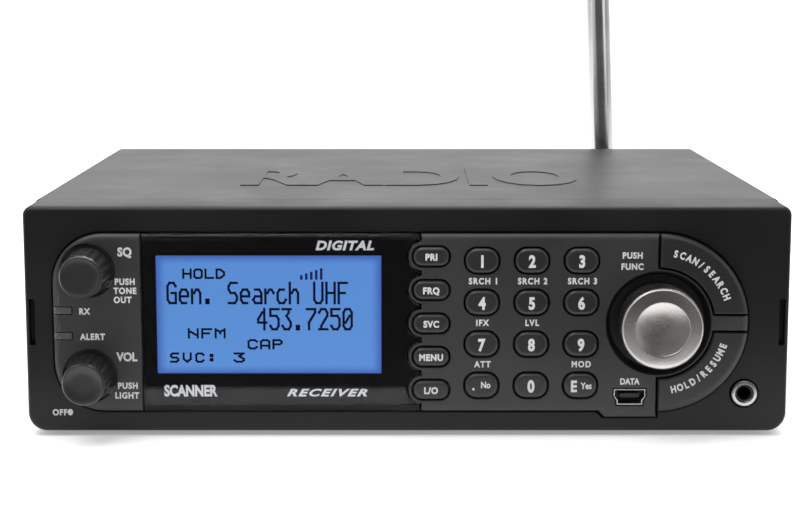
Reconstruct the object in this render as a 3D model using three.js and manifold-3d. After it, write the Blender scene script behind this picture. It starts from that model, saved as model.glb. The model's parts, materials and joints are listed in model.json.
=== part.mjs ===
// A DIN-size mobile police scanner: a sheet-metal case with a moulded front bezel, a raised
// control panel, a backlit display, nineteen push keys, three push-and-turn knobs, rear sockets
// and a telescopic antenna on a rear bayonet socket.
// Millimetres, +Z up, the front faces -Y. The origin is the centre of the footprint, on the
// surface that the feet stand on.

import * as THREE from "three";
import { mergeVertices } from "three/addons/utils/BufferGeometryUtils.js";
import Module from "manifold-3d";

const wasm = await Module();
wasm.setup();

// ---------------------------------------------------------------------------------------------
// Driving dimensions. Depths are measured back from the bezel's front face, heights from the
// surface under the feet, and x from the case's middle.
// ---------------------------------------------------------------------------------------------

const GAP = 0.3; // clearance between neighbouring pieces

const FOOT = { radius: 6, height: 3.1, insetX: 16.8, insetFront: 10, insetRear: 14 };

const BEZEL = {
  width: 184, height: 55, bottom: 1, depth: 15.3, wall: 2, face: 2.4,
  topRadius: 2.2, bottomRadius: 4.5, edge: 1.2, postRadius: 1.6, postAngles: [45, -25],
};
const KEYHOLE = { width: 1.4, height: 11.3, edgeWall: 1 }; // release-key slots at both ends

const BODY = { overhang: 0.2, topStep: 0, depth: 152, cover: 1, coverRadius: 1.2, tray: 1.2, noseInset: 3.3 };
const BRACKET = { front: 55, pitch: 60, holeRadius: 2, coverHoleRadius: 3 };

// The raised panel: a round-cornered left end and a half-round right end about the dial.
const PANEL = {
  marginLeft: 7, marginRight: 10.05, marginTop: 6.4, marginBottom: 5.3, cornerRadius: 12,
  proud: 1.6, skin: 2.2, lensSkin: 2, wall: 1.5, lip: 1.8, lipThickness: 1,
};
const TAB = { width: 12.6, drop: 1.5, slant: 1.5 }; // the panel's step down around the data port
const CONTROL_WIDTH = 21.3; // left panel, up to the seam with the lens
const KEYPAD_WIDTH = 57.1; // from the lens seam to the dial's axis
const WINDOW = { left: 3.1, right: 9.2, top: 5.4, bottom: 8.9 }; // lens margins round the display

const KEY = { travel: 1, lip: 0.7, lipThickness: 0.8, clearance: GAP };
const NUMBER_KEY = {
  width: 8, height: 6, radius: 2.8, proud: 0.8, postRadius: 2.4,
  pitch: 11.9, dialGap: 1.4, top: 6.4, bottom: 6.5,
};
const FUNCTION_KEY = {
  width: 8.6, height: 4.6, radius: 2.2, proud: 0.8, postRadius: 1.9,
  fromSeam: 2.55, top: 5.4, bottom: 5.4, lobe: 1.2,
};
const ARC_KEY = { proud: 0.6, bridge: 3.9, postRadius: 2 };

const DIAL = { clearance: 2.85, recessTaper: 1.1, recessDepth: 3, rim: 0.5, floor: 1.2 };
const TUNING = {
  knobRadius: 9.85, knobFront: 9.6, knobGap: 1.1, dishRadius: 6.4, dishDepth: 1.1,
  travel: 0.8, shaftRadius: 3, body: 13,
};
const SMALL_KNOB = {
  inset: 8.6, spread: 12.8, frontRadius: 5.2, rearRadius: 5.6, front: 12, clearance: 0.9,
  recessDepth: 1.2, knobGap: 1, pointerAngle: -25, pointerReach: 1.1, pointerWidth: 1.5,
  pointerLength: 4, travel: 0.7, shaftRadius: 3, body: 11,
};
const LIGHT_PIPE = { height: 1.8, length: 4.6, spread: 3.1, stem: 2.5 };

const BOARD = { thickness: 1.6, front: 12, margin: 3.5 }; // the board behind the keys
const MAT = { thickness: 1.2, margin: 1.7 };
const DATA_PORT = { width: 7.7, foot: 6.2, height: 3.9, wall: 0.4, depth: 9, fromDial: 6.6, lift: 5.1 };
const PHONES = { radius: 3.15, hole: 1.8, proud: 0.8, fromEdge: 10.4, lift: 9.5, body: 8 };

const SPEAKER = { radius: 28, height: 17, rim: 1.5, magnetRadius: 14, x: -35, y: 72, slots: 7 };
const MAIN_BOARD = { headroom: 4.1, front: 30, rearGap: 6, sideGap: 8, postRadius: 3, postInset: 6 };
const SHIELD = { width: 62, depth: 46, height: 10, sheet: 0.8, x: 34, y: 84 };

const REAR = { sheet: 1.2, inset: 0.8 };
const AERIAL_SOCKET = {
  x: 65.7, z: 33, radius: 4.8, lug: 0.9, bore: 3.4, length: 11, nutRadius: 6.6, nut: 2.2,
};
const POWER_SOCKET = { x: -58, width: 9, height: 11, depth: 14, hole: 3, pin: 1 };
const SPEAKER_SOCKET = { x: -36, width: 8, height: 8, depth: 12, ring: 3, hole: 1.8 };

const AERIAL = {
  lean: -2.7, tilt: 2, collarWall: 0.9, collar: 13.5, tang: 3.8, ear: 2.1, earRadius: 4.4,
  pivotPinRadius: 1.4, neck: 5, ferruleWall: 0.6, ferrule: 12, tubeRadius: 3.7, tubeWall: 0.5,
  tubeLength: 140, stages: 3, capRadius: 3.2, capHeight: 6,
};

// ---------------------------------------------------------------------------------------------
// Solids: three.js makes each simple closed shape and manifold-3d joins and cuts them.
// ---------------------------------------------------------------------------------------------

const ARC_STEPS = 7; // each arc of an outline takes twice this many straight segments
const KEY_STEPS = 2; // the same, for the keys and what fits them
const FINE_SIDES = 24;
const COARSE_SIDES = 12;

function toSolid(geometry) {
  const bare = geometry.index ? geometry.toNonIndexed() : geometry;
  bare.deleteAttribute("normal");
  bare.deleteAttribute("uv");
  const merged = mergeVertices(bare, 1e-4);
  return new wasm.Manifold(new wasm.Mesh({
    numProp: 3,
    vertProperties: merged.attributes.position.array,
    triVerts: new Uint32Array(merged.index.array),
  }));
}

function toGeometry(solid) {
  const { vertProperties, triVerts } = solid.getMesh();
  const geometry = new THREE.BufferGeometry();
  geometry.setAttribute("position", new THREE.BufferAttribute(vertProperties, 3));
  geometry.setIndex(new THREE.BufferAttribute(triVerts, 1));
  geometry.computeVertexNormals();
  return geometry;
}

const join = (first, ...others) => others.reduce((sum, next) => sum.add(next), first);
const cut = (first, ...others) => others.reduce((rest, next) => rest.subtract(next), first);

// An outline drawn in the front view, as x and z, pulled back from depth y0 to y1.
function slab(shape, y0, y1, curveSegments = ARC_STEPS) {
  const options = { depth: y1 - y0, bevelEnabled: false, curveSegments };
  const geometry = new THREE.ExtrudeGeometry(shape, options);
  return toSolid(geometry.rotateX(Math.PI / 2).translate(0, y1, 0));
}

function block(x0, x1, y0, y1, z0, z1) {
  const geometry = new THREE.BoxGeometry(x1 - x0, y1 - y0, z1 - z0);
  return toSolid(geometry.translate((x0 + x1) / 2, (y0 + y1) / 2, (z0 + z1) / 2));
}

// A round bar along Y, from depth y0 to y1, which may taper from radius r0 to r1.
function bar(x, z, r0, y0, y1, r1 = r0, sides = COARSE_SIDES) {
  const geometry = new THREE.CylinderGeometry(r1, r0, y1 - y0, sides);
  return toSolid(geometry.translate(x, (y0 + y1) / 2, z));
}

// A round post along Z, from height z0 to z1.
function post(x, y, radius, z0, z1, sides = COARSE_SIDES) {
  const geometry = new THREE.CylinderGeometry(radius, radius, z1 - z0, sides);
  return toSolid(geometry.rotateX(Math.PI / 2).translate(x, y, (z0 + z1) / 2));
}

// A profile of [radius, along] points, turned about the Y axis.
function turned(profile, sides = FINE_SIDES) {
  const points = profile.map(([radius, along]) => new THREE.Vector2(radius, along));
  return toSolid(new THREE.LatheGeometry([...points, points[0].clone()], sides));
}

// A rectangle with its own corner radius at the bottom and at the top.
function roundRect(x0, x1, z0, z1, bottomRadius, topRadius = bottomRadius) {
  const shape = new THREE.Shape();
  shape.moveTo(x0 + bottomRadius, z0);
  shape.lineTo(x1 - bottomRadius, z0);
  shape.absarc(x1 - bottomRadius, z0 + bottomRadius, bottomRadius, -Math.PI / 2, 0, false);
  shape.lineTo(x1, z1 - topRadius);
  shape.absarc(x1 - topRadius, z1 - topRadius, topRadius, 0, Math.PI / 2, false);
  shape.lineTo(x0 + topRadius, z1);
  shape.absarc(x0 + topRadius, z1 - topRadius, topRadius, Math.PI / 2, Math.PI, false);
  shape.lineTo(x0, z0 + bottomRadius);
  shape.absarc(x0 + bottomRadius, z0 + bottomRadius, bottomRadius, Math.PI, 1.5 * Math.PI, false);
  return shape;
}

const oblong = (x, z, width, height, radius) =>
  roundRect(x - width / 2, x + width / 2, z - height / 2, z + height / 2, radius);

// ---------------------------------------------------------------------------------------------
// Places worked out from the driving dimensions.
// ---------------------------------------------------------------------------------------------

const bezelTop = BEZEL.bottom + BEZEL.height;
const bezelSide = BEZEL.width / 2;
const bodySide = bezelSide - BODY.overhang;
const bodyBottom = FOOT.height + GAP;
const bodyTop = bezelTop - BODY.topStep;
const bodyMiddle = (bodyBottom + bodyTop) / 2;
const bodyFront = BEZEL.depth + GAP;
const traySide = bodySide - BODY.cover - GAP;
const trayNose = bezelSide - BODY.noseInset; // the tray steps in where it enters the bezel
const trayInside = traySide - BODY.tray;
const noseInside = trayNose - BODY.tray;
const floorTop = bodyBottom + BODY.tray;

const panelTop = bezelTop - PANEL.marginTop;
const panelBottom = BEZEL.bottom + PANEL.marginBottom;
const panelLeft = -bezelSide + PANEL.marginLeft;
const panelHalf = (panelTop - panelBottom) / 2;
const dialX = bezelSide - PANEL.marginRight - panelHalf;
const dialZ = (panelTop + panelBottom) / 2;
const panelFront = -PANEL.proud;
const skinRear = panelFront + PANEL.skin;
const lipFront = BEZEL.face + GAP;
const lipRear = lipFront + PANEL.lipThickness;
const controlSeam = panelLeft + CONTROL_WIDTH;
const keypadSeam = dialX - KEYPAD_WIDTH;
const recessRadius = TUNING.knobRadius + DIAL.clearance;
const dialRim = recessRadius + DIAL.rim;
const arcInner = dialRim + GAP;

const boardFront = BOARD.front;
const boardRear = BOARD.front + BOARD.thickness;
const matRear = boardFront - GAP;
const matFront = matRear - MAT.thickness;
const keyRear = matFront - GAP - KEY.travel;

const rearFace = BODY.depth - REAR.inset;
const rearInside = rearFace - REAR.sheet;
const postTop = floorTop + SPEAKER.height + GAP + MAIN_BOARD.headroom;
const mainBoardBottom = postTop + GAP;
const mainBoardTop = mainBoardBottom + BOARD.thickness;
const mainBoardSide = trayInside - MAIN_BOARD.sideGap;
const mainBoardRear = rearInside - MAIN_BOARD.rearGap;

// ---------------------------------------------------------------------------------------------
// Materials, one for each finish.
// ---------------------------------------------------------------------------------------------

const finish = (color, roughness, metalness) =>
  new THREE.MeshStandardMaterial({ color, roughness, metalness });

const FINISH = {
  bezel: finish(0x1d1e20, 0.5, 0),
  panel: finish(0x37383a, 0.55, 0),
  key: finish(0x2b2c2e, 0.5, 0),
  lens: finish(0x0b0b0c, 0.08, 0),
  display: finish(0x4f80c4, 0.3, 0),
  cover: finish(0x4a4a4c, 0.55, 0.2),
  tray: finish(0x6f7072, 0.45, 0.7),
  spunMetal: finish(0xc9c3bd, 0.25, 1),
  chrome: finish(0xc8c8c8, 0.12, 1),
  steel: finish(0xb4b4b6, 0.35, 1),
  rubber: finish(0x17171a, 0.9, 0),
  silicone: finish(0x3a3b3e, 0.85, 0),
  board: finish(0x1f4a2c, 0.6, 0),
  blackPlastic: finish(0x161618, 0.5, 0),
  lightPipe: finish(0x58595c, 0.3, 0),
};

const scanner = new THREE.Group();

function add(name, solid, material, parent = scanner) {
  const mesh = new THREE.Mesh(toGeometry(solid), material);
  mesh.name = name;
  parent.add(mesh);
  return mesh;
}

// ---------------------------------------------------------------------------------------------
// The raised panel's outline, grown or shrunk by an even margin.
// ---------------------------------------------------------------------------------------------

function panelOutline(grow) {
  const radius = panelHalf + grow;
  const corner = PANEL.cornerRadius + grow;
  const left = panelLeft - grow;
  const top = panelTop + grow;
  const bottom = panelBottom - grow;
  const tabLeft = dialX - TAB.width - grow;
  const tabBottom = bottom - TAB.drop;
  const shape = new THREE.Shape();
  shape.moveTo(dialX, top);
  shape.absarc(dialX, dialZ, radius, Math.PI / 2, -Math.acos(grow / radius), true);
  shape.lineTo(dialX + grow, tabBottom);
  shape.lineTo(tabLeft, tabBottom);
  shape.lineTo(tabLeft - TAB.slant, bottom);
  shape.lineTo(left + corner, bottom);
  shape.absarc(left + corner, bottom + corner, corner, -Math.PI / 2, -Math.PI, true);
  shape.lineTo(left, top - corner);
  shape.absarc(left + corner, top - corner, corner, Math.PI, Math.PI / 2, true);
  return shape;
}

// A tray-like shell over the whole outline: a front skin, a side wall and a rear lip that
// catches behind the bezel. Each panel piece is a length of it.
function panelShell(skin) {
  const whole = slab(panelOutline(0), panelFront, lipRear);
  const lip = slab(panelOutline(PANEL.lip), lipFront, lipRear);
  const hollow = slab(panelOutline(-PANEL.wall), panelFront + skin, lipRear + 1);
  return cut(join(whole, lip), hollow);
}

const between = (x0, x1) => block(x0, x1, panelFront - 1, lipRear + 1, 0, bezelTop);

// ---------------------------------------------------------------------------------------------
// Key places.
// ---------------------------------------------------------------------------------------------

const spaced = (count, index, first, last) => first + ((last - first) * index) / (count - 1);

const functionKeys = ["priority", "frequency", "service", "menu", "lockout"].map((label, row) => ({
  name: `key_${label}`,
  x: keypadSeam + FUNCTION_KEY.fromSeam,
  z: spaced(5, row, panelTop - FUNCTION_KEY.top, panelBottom + FUNCTION_KEY.bottom),
  size: FUNCTION_KEY,
}));

const lastColumn = dialX - dialRim - NUMBER_KEY.dialGap - NUMBER_KEY.width / 2;
const numberRows = [["1", "2", "3"], ["4", "5", "6"], ["7", "8", "9"], ["point", "0", "enter"]];
const numberKeys = numberRows.flatMap((labels, row) => labels.map((label, column) => ({
  name: `key_${label}`,
  x: lastColumn - (2 - column) * NUMBER_KEY.pitch,
  z: spaced(4, row, panelTop - NUMBER_KEY.top, panelBottom + NUMBER_KEY.bottom),
  size: NUMBER_KEY,
})));

const keys = [...functionKeys, ...numberKeys];

const keyOutline = ({ x, z, size }, grow) =>
  oblong(x, z, size.width + 2 * grow, size.height + 2 * grow, size.radius + grow);

// ---------------------------------------------------------------------------------------------
// Front bezel: a moulded frame with the panel opening, release-key slots and board posts.
// ---------------------------------------------------------------------------------------------

const phones = { x: bezelSide - PHONES.fromEdge, z: BEZEL.bottom + PHONES.lift };

function frontBezel() {
  const outline = roundRect(
    -bezelSide, bezelSide, BEZEL.bottom, bezelTop, BEZEL.bottomRadius, BEZEL.topRadius);
  const rounded = new THREE.ExtrudeGeometry(outline, {
    depth: BEZEL.depth, curveSegments: ARC_STEPS, bevelSegments: 2,
    bevelThickness: BEZEL.edge, bevelSize: BEZEL.edge, bevelOffset: -BEZEL.edge,
  });
  rounded.rotateX(Math.PI / 2).translate(0, BEZEL.depth + BEZEL.edge, 0);
  const rearWaste = block(
    -BEZEL.width, BEZEL.width, BEZEL.depth, 2 * BEZEL.depth, -BEZEL.height, 2 * BEZEL.height);
  const inside = roundRect(
    -bezelSide + BEZEL.wall, bezelSide - BEZEL.wall, BEZEL.bottom + BEZEL.wall,
    bezelTop - BEZEL.wall, BEZEL.bottomRadius - BEZEL.wall, BEZEL.topRadius - BEZEL.wall);
  const slots = [-1, 1].map((side) => {
    const outer = side * (bezelSide - KEYHOLE.edgeWall);
    const inner = outer - side * KEYHOLE.width;
    return block(Math.min(outer, inner), Math.max(outer, inner), -1, BEZEL.depth + 1,
      dialZ - KEYHOLE.height / 2, dialZ + KEYHOLE.height / 2);
  });
  const shell = cut(
    toSolid(rounded),
    rearWaste,
    slab(inside, BEZEL.face, BEZEL.depth + 1),
    slab(panelOutline(GAP), -1, BEZEL.face + 1),
    bar(phones.x, phones.z, PHONES.radius + GAP, -1, BEZEL.face + 1),
    ...slots,
  );
  const clear = PANEL.lip + BEZEL.postRadius + 2 * GAP; // from the panel's edge to a post's axis
  const diagonal = (PANEL.cornerRadius + clear) * Math.SQRT1_2;
  const cornerX = panelLeft + PANEL.cornerRadius - diagonal;
  const low = panelBottom + PANEL.cornerRadius - diagonal;
  const high = panelTop - PANEL.cornerRadius + diagonal;
  const besideArc = BEZEL.postAngles.map((degrees) => {
    const angle = THREE.MathUtils.degToRad(degrees);
    return [dialX + (panelHalf + clear) * Math.cos(angle), dialZ + (panelHalf + clear) * Math.sin(angle)];
  });
  const posts = [[cornerX, low], [cornerX, high], ...besideArc];
  const rooted = posts.map(([x, z]) => bar(x, z, BEZEL.postRadius, BEZEL.face - 1, boardFront - GAP));
  return join(shell, ...rooted);
}
add("front_bezel", frontBezel(), FINISH.bezel);

// ---------------------------------------------------------------------------------------------
// Left control panel with its two knob recesses, and the light pipe for the two status lights.
// ---------------------------------------------------------------------------------------------

const knobX = panelLeft + SMALL_KNOB.inset;
const smallKnobs = [
  { name: "squelch", x: knobX, z: dialZ + SMALL_KNOB.spread },
  { name: "volume", x: knobX, z: dialZ - SMALL_KNOB.spread },
];
const lightHeights = [dialZ + LIGHT_PIPE.spread, dialZ - LIGHT_PIPE.spread];
const lightHalf = LIGHT_PIPE.height / 2;
const pipeLeft = panelLeft + PANEL.wall + GAP;

function controlPanel() {
  const recessEdge = SMALL_KNOB.rearRadius + SMALL_KNOB.clearance;
  const recesses = smallKnobs.flatMap(({ x, z }) => [
    bar(x, z, recessEdge, panelFront - 1, panelFront + SMALL_KNOB.recessDepth, recessEdge, FINE_SIDES),
    bar(x, z, SMALL_KNOB.shaftRadius + GAP, panelFront - 1, skinRear + 1),
  ]);
  const notches = lightHeights.map((z) => block(
    panelLeft - 1, panelLeft + LIGHT_PIPE.length + GAP, panelFront - 1, skinRear,
    z - lightHalf - GAP, z + lightHalf + GAP));
  const length = panelShell(PANEL.skin).intersect(between(-BEZEL.width, controlSeam - GAP / 2));
  return cut(length, ...recesses, ...notches);
}
add("control_panel", controlPanel(), FINISH.panel);

function lightPipe() {
  const webFront = skinRear + 2;
  const webRear = webFront + 1.5;
  const bars = lightHeights.flatMap((z) => [
    block(panelLeft, panelLeft + LIGHT_PIPE.length, panelFront, skinRear - GAP, z - lightHalf, z + lightHalf),
    block(pipeLeft, pipeLeft + LIGHT_PIPE.stem, skinRear - 2 * GAP, webRear, z - lightHalf, z + lightHalf),
  ]);
  const web = block(pipeLeft, pipeLeft + LIGHT_PIPE.stem, webFront, webRear,
    lightHeights[1] - lightHalf, lightHeights[0] + lightHalf);
  return join(web, ...bars);
}
add("status_light_pipe", lightPipe(), FINISH.lightPipe);

// ---------------------------------------------------------------------------------------------
// Display lens and the display module behind it.
// ---------------------------------------------------------------------------------------------

const lensLeft = controlSeam + GAP / 2;
const lensRight = keypadSeam - GAP / 2;
const keyLobe = (key, grow) => oblong(
  key.x, key.z, key.size.width + 2 * (key.size.lobe + grow),
  key.size.height + 2 * (key.size.lobe + grow), key.size.radius + key.size.lobe + grow);

function displayLens() {
  const length = panelShell(PANEL.lensSkin).intersect(between(lensLeft, lensRight));
  const scallops = functionKeys.map((key) => slab(keyLobe(key, GAP), panelFront - 1, skinRear + GAP, KEY_STEPS));
  return cut(length, ...scallops);
}
add("display_lens", displayLens(), FINISH.lens);

const lensRear = panelFront + PANEL.lensSkin;
const windowBox = {
  left: lensLeft + WINDOW.left, right: lensRight - WINDOW.right,
  bottom: panelBottom + WINDOW.bottom, top: panelTop - WINDOW.top,
};

function displayModule() {
  const border = 1.5;
  const front = lensRear + 2 * GAP;
  const glassSet = 0.5;
  const frame = block(windowBox.left - border, windowBox.right + border, front, boardFront - GAP,
    windowBox.bottom - border, windowBox.top + border);
  const glass = block(windowBox.left, windowBox.right, front - 1, front + glassSet,
    windowBox.bottom, windowBox.top);
  return cut(frame, glass);
}
add("display_module", displayModule(), FINISH.display);

// ---------------------------------------------------------------------------------------------
// Keypad panel: the right-hand length of the raised panel, with the key holes, the lobes round
// the function keys, the dial's recess and the bridge between the two arc keys.
// ---------------------------------------------------------------------------------------------

const dataPort = { x: dialX - DATA_PORT.fromDial, z: panelBottom - TAB.drop + DATA_PORT.lift };

function portOutline(grow) {
  const half = DATA_PORT.width / 2 + grow;
  const foot = DATA_PORT.foot / 2 + grow;
  const tall = DATA_PORT.height / 2 + grow;
  const shape = new THREE.Shape();
  shape.moveTo(dataPort.x - foot, dataPort.z - tall);
  shape.lineTo(dataPort.x + foot, dataPort.z - tall);
  shape.lineTo(dataPort.x + foot, dataPort.z - tall / 2);
  shape.lineTo(dataPort.x + half, dataPort.z);
  shape.lineTo(dataPort.x + half, dataPort.z + tall);
  shape.lineTo(dataPort.x - half, dataPort.z + tall);
  shape.lineTo(dataPort.x - half, dataPort.z);
  shape.lineTo(dataPort.x - foot, dataPort.z - tall / 2);
  return shape;
}

// The half ring that the two arc keys share, between two radii.
function halfRing(innerRadius, outerRadius, y0, y1, left = dialX + GAP / 2) {
  const ring = cut(
    bar(dialX, dialZ, outerRadius, y0, y1, outerRadius, 2 * FINE_SIDES),
    bar(dialX, dialZ, innerRadius, y0 - 1, y1 + 1, innerRadius, 2 * FINE_SIDES),
  );
  return ring.intersect(block(left, dialX + 2 * outerRadius, y0 - 1, y1 + 1, -BEZEL.height, 2 * BEZEL.height));
}

const bridgeHalf = ARC_KEY.bridge / 2;
const bridgeBlock = (grow) => block(dialX, bezelSide, panelFront - 2, boardFront,
  dialZ - bridgeHalf - grow, dialZ + bridgeHalf + grow);
const recessFloor = panelFront + DIAL.recessDepth;

function keypadPanel() {
  const length = panelShell(PANEL.skin).intersect(between(keypadSeam + GAP / 2, BEZEL.width));
  const lobes = functionKeys.map((key) => slab(keyLobe(key, 0), panelFront, skinRear, KEY_STEPS)
    .intersect(between(-BEZEL.width, keypadSeam + key.size.width)));
  const arcSpace = cut(
    halfRing(dialRim, panelHalf + 2 * PANEL.lip, panelFront - 1, lipRear + 1, dialX - GAP / 2),
    bridgeBlock(0),
  );
  const cup = bar(dialX, dialZ, dialRim, panelFront, recessFloor + DIAL.floor, dialRim, 2 * FINE_SIDES);
  const recess = bar(dialX, dialZ, recessRadius, panelFront - 0.01, recessFloor,
    recessRadius - DIAL.recessTaper, 2 * FINE_SIDES);
  const holes = keys.map((key) => slab(keyOutline(key, KEY.clearance), panelFront - 1, skinRear + 1, KEY_STEPS));
  return cut(
    join(cut(join(length, ...lobes), arcSpace), cup),
    recess,
    bar(dialX, dialZ, TUNING.shaftRadius + 2 * GAP, panelFront, recessFloor + DIAL.floor + 1),
    slab(portOutline(GAP), panelFront - 1, lipRear + 1),
    ...holes,
  );
}
add("keypad_panel", keypadPanel(), FINISH.panel);

// ---------------------------------------------------------------------------------------------
// Push keys: a cap through the panel, a lip behind it, and a post that reaches the rubber mat.
// ---------------------------------------------------------------------------------------------

function pushKey(key) {
  const front = panelFront - key.size.proud;
  const lip = skinRear + GAP;
  return join(
    slab(keyOutline(key, 0), front, lip + KEY.lipThickness, KEY_STEPS),
    slab(keyOutline(key, KEY.lip), lip, lip + KEY.lipThickness, KEY_STEPS),
    bar(key.x, key.z, key.size.postRadius, lip, keyRear, key.size.postRadius, 8),
  );
}
for (const key of keys) add(key.name, pushKey(key), FINISH.key);

function arcKey(side) {
  const front = panelFront - ARC_KEY.proud;
  const ring = join(
    halfRing(arcInner, panelHalf, front, lipRear),
    halfRing(arcInner, panelHalf + PANEL.lip, lipFront + GAP, lipRear),
  );
  const middle = (arcInner + panelHalf) / 2;
  const postAngle = side * Math.PI / 4;
  const stem = bar(dialX + middle * Math.cos(postAngle), dialZ + middle * Math.sin(postAngle),
    ARC_KEY.postRadius, front + 1, keyRear);
  const half = side > 0
    ? block(dialX, BEZEL.width, -BEZEL.depth, BODY.depth, dialZ + bridgeHalf + GAP, 2 * bezelTop)
    : block(dialX, BEZEL.width, -BEZEL.depth, BODY.depth, -bezelTop, dialZ - bridgeHalf - GAP);
  return join(ring.intersect(half), stem);
}
add("key_scan", arcKey(1), FINISH.key);
add("key_hold", arcKey(-1), FINISH.key);

// The rubber mat whose domes the keys press, clear of the dial's encoder and the display.
function keypadMat() {
  const outerHalf = Math.max(NUMBER_KEY.width, FUNCTION_KEY.width) / 2 + MAT.margin;
  const left = functionKeys[0].x - outerHalf;
  const right = numberKeys[2].x + outerHalf;
  const low = panelBottom + PANEL.wall;
  const high = panelTop - PANEL.wall;
  const domes = keys.map(({ x, z, size }) =>
    bar(x, z, size.postRadius + 0.5, matFront - 1, matFront + MAT.thickness / 2, size.postRadius, 8));
  return cut(block(left, right, matFront, matRear, low, high), ...domes);
}
add("keypad_mat", keypadMat(), FINISH.silicone);

// ---------------------------------------------------------------------------------------------
// Push-and-turn controls: a body on the board, a plunger that the shaft pushes, the shaft and
// its knob. All of them lie on one axis.
// ---------------------------------------------------------------------------------------------

const SHAFT_REAR = 7.4; // where each shaft ends against its plunger
const PLUNGER = { rear: 10.3, radius: 2.6 };
const BUSHING_WALL = 1.2;

function controlBody(x, z, sizes, bushingFront) {
  const half = sizes.body / 2;
  const bodyFace = boardFront - GAP - 6.8;
  const bore = sizes.shaftRadius + GAP;
  return cut(
    join(
      block(x - half, x + half, bodyFace, boardFront - GAP, z - half, z + half),
      bar(x, z, bore + BUSHING_WALL, bushingFront, bodyFace + 1),
    ),
    bar(x, z, bore, bushingFront - 1, PLUNGER.rear + sizes.travel + GAP),
  );
}

const controlShaft = (x, z, sizes, front) => bar(x, z, sizes.shaftRadius, front, SHAFT_REAR);
const controlPlunger = (x, z) => bar(x, z, PLUNGER.radius, SHAFT_REAR + GAP, PLUNGER.rear);

function tuningKnob() {
  const front = -TUNING.knobFront;
  const rear = recessFloor - TUNING.knobGap;
  const edge = 0.8;
  const outside = turned([
    [0, front + TUNING.dishDepth], [TUNING.dishRadius * 0.55, front + TUNING.dishDepth * 0.7],
    [TUNING.dishRadius, front], [TUNING.knobRadius - edge, front],
    [TUNING.knobRadius, front + edge], [TUNING.knobRadius, rear], [0, rear],
  ]).translate([dialX, 0, dialZ]);
  const bore = TUNING.shaftRadius + GAP;
  return cut(outside, bar(dialX, dialZ, bore, front + 3, rear + 1));
}

add("tuning_encoder", controlBody(dialX, dialZ, TUNING, recessFloor + DIAL.floor + GAP), FINISH.steel);
add("tuning_plunger", controlPlunger(dialX, dialZ), FINISH.steel);
add("tuning_shaft", controlShaft(dialX, dialZ, TUNING, -TUNING.knobFront + 3 + GAP), FINISH.steel);
add("tuning_knob", tuningKnob(), FINISH.spunMetal);

function smallKnob({ x, z }) {
  const front = -SMALL_KNOB.front;
  const rear = panelFront + SMALL_KNOB.recessDepth - SMALL_KNOB.knobGap;
  const angle = THREE.MathUtils.degToRad(SMALL_KNOB.pointerAngle);
  const reach = SMALL_KNOB.rearRadius + SMALL_KNOB.pointerReach;
  const fin = new THREE.BoxGeometry(reach, SMALL_KNOB.pointerLength, SMALL_KNOB.pointerWidth);
  const finFront = panelFront - GAP - SMALL_KNOB.travel - SMALL_KNOB.pointerLength;
  fin.translate(reach / 2, finFront + SMALL_KNOB.pointerLength / 2, 0).rotateY(-angle).translate(x, 0, z);
  const cap = turned([
    [0, front], [SMALL_KNOB.frontRadius - 0.6, front], [SMALL_KNOB.frontRadius, front + 0.6],
    [SMALL_KNOB.rearRadius, rear], [0, rear],
  ]).translate([x, 0, z]);
  return cut(join(cap, toSolid(fin)), bar(x, z, SMALL_KNOB.shaftRadius + GAP, front + 3, rear + 1));
}

for (const knob of smallKnobs) {
  const { name, x, z } = knob;
  add(`${name}_control`, controlBody(x, z, SMALL_KNOB, skinRear + 2 * GAP), FINISH.steel);
  add(`${name}_plunger`, controlPlunger(x, z), FINISH.steel);
  add(`${name}_shaft`, controlShaft(x, z, SMALL_KNOB, -SMALL_KNOB.front + 3 + GAP), FINISH.steel);
  add(`${name}_knob`, smallKnob(knob), FINISH.blackPlastic);
}

// ---------------------------------------------------------------------------------------------
// Front board, data port and phones socket.
// ---------------------------------------------------------------------------------------------

const boardSide = noseInside - BOARD.margin / 2;
add("front_board", block(-boardSide, boardSide, boardFront, boardRear,
  floorTop + BOARD.margin / 2, bezelTop - BEZEL.wall - BOARD.margin), FINISH.board);

function dataPortSocket() {
  const front = panelFront + 0.2;
  const rear = front + DATA_PORT.depth;
  const tongue = block(dataPort.x - 2.2, dataPort.x + 2.2, front + 1, rear, dataPort.z + 0.1, dataPort.z + 0.9);
  const shell = cut(slab(portOutline(0), front, rear), slab(portOutline(-DATA_PORT.wall), front - 1, rear - 1));
  return join(shell, tongue);
}
add("data_port", dataPortSocket(), FINISH.steel);

function phonesSocket() {
  const { x, z } = phones;
  const half = PHONES.body / 2;
  const bodyFace = lipRear + KEY.travel + 2 * GAP;
  const rear = boardFront - GAP;
  return cut(
    join(
      bar(x, z, PHONES.radius, -PHONES.proud, bodyFace + 1, PHONES.radius, FINE_SIDES),
      block(x - half, x + half, bodyFace, rear, z - half, z + half),
    ),
    bar(x, z, PHONES.hole, -2, rear - 1),
  );
}
add("phones_socket", phonesSocket(), FINISH.steel);

// ---------------------------------------------------------------------------------------------
// Case: the folded tray, the top cover that wraps over it, the rear panel and the feet.
// ---------------------------------------------------------------------------------------------

const bracketHoles = [BRACKET.front, BRACKET.front + BRACKET.pitch];
const sideHoles = (radius) => bracketHoles.map((y) => {
  const through = new THREE.CylinderGeometry(radius, radius, BEZEL.width * 2, COARSE_SIDES);
  return toSolid(through.rotateZ(Math.PI / 2).translate(0, y, bodyMiddle));
});

const mainPosts = [-1, 1].flatMap((side) => [
  [side * (mainBoardSide - MAIN_BOARD.postInset), MAIN_BOARD.front + MAIN_BOARD.postInset],
  [side * (mainBoardSide - MAIN_BOARD.postInset), mainBoardRear - MAIN_BOARD.postInset],
]);

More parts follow.
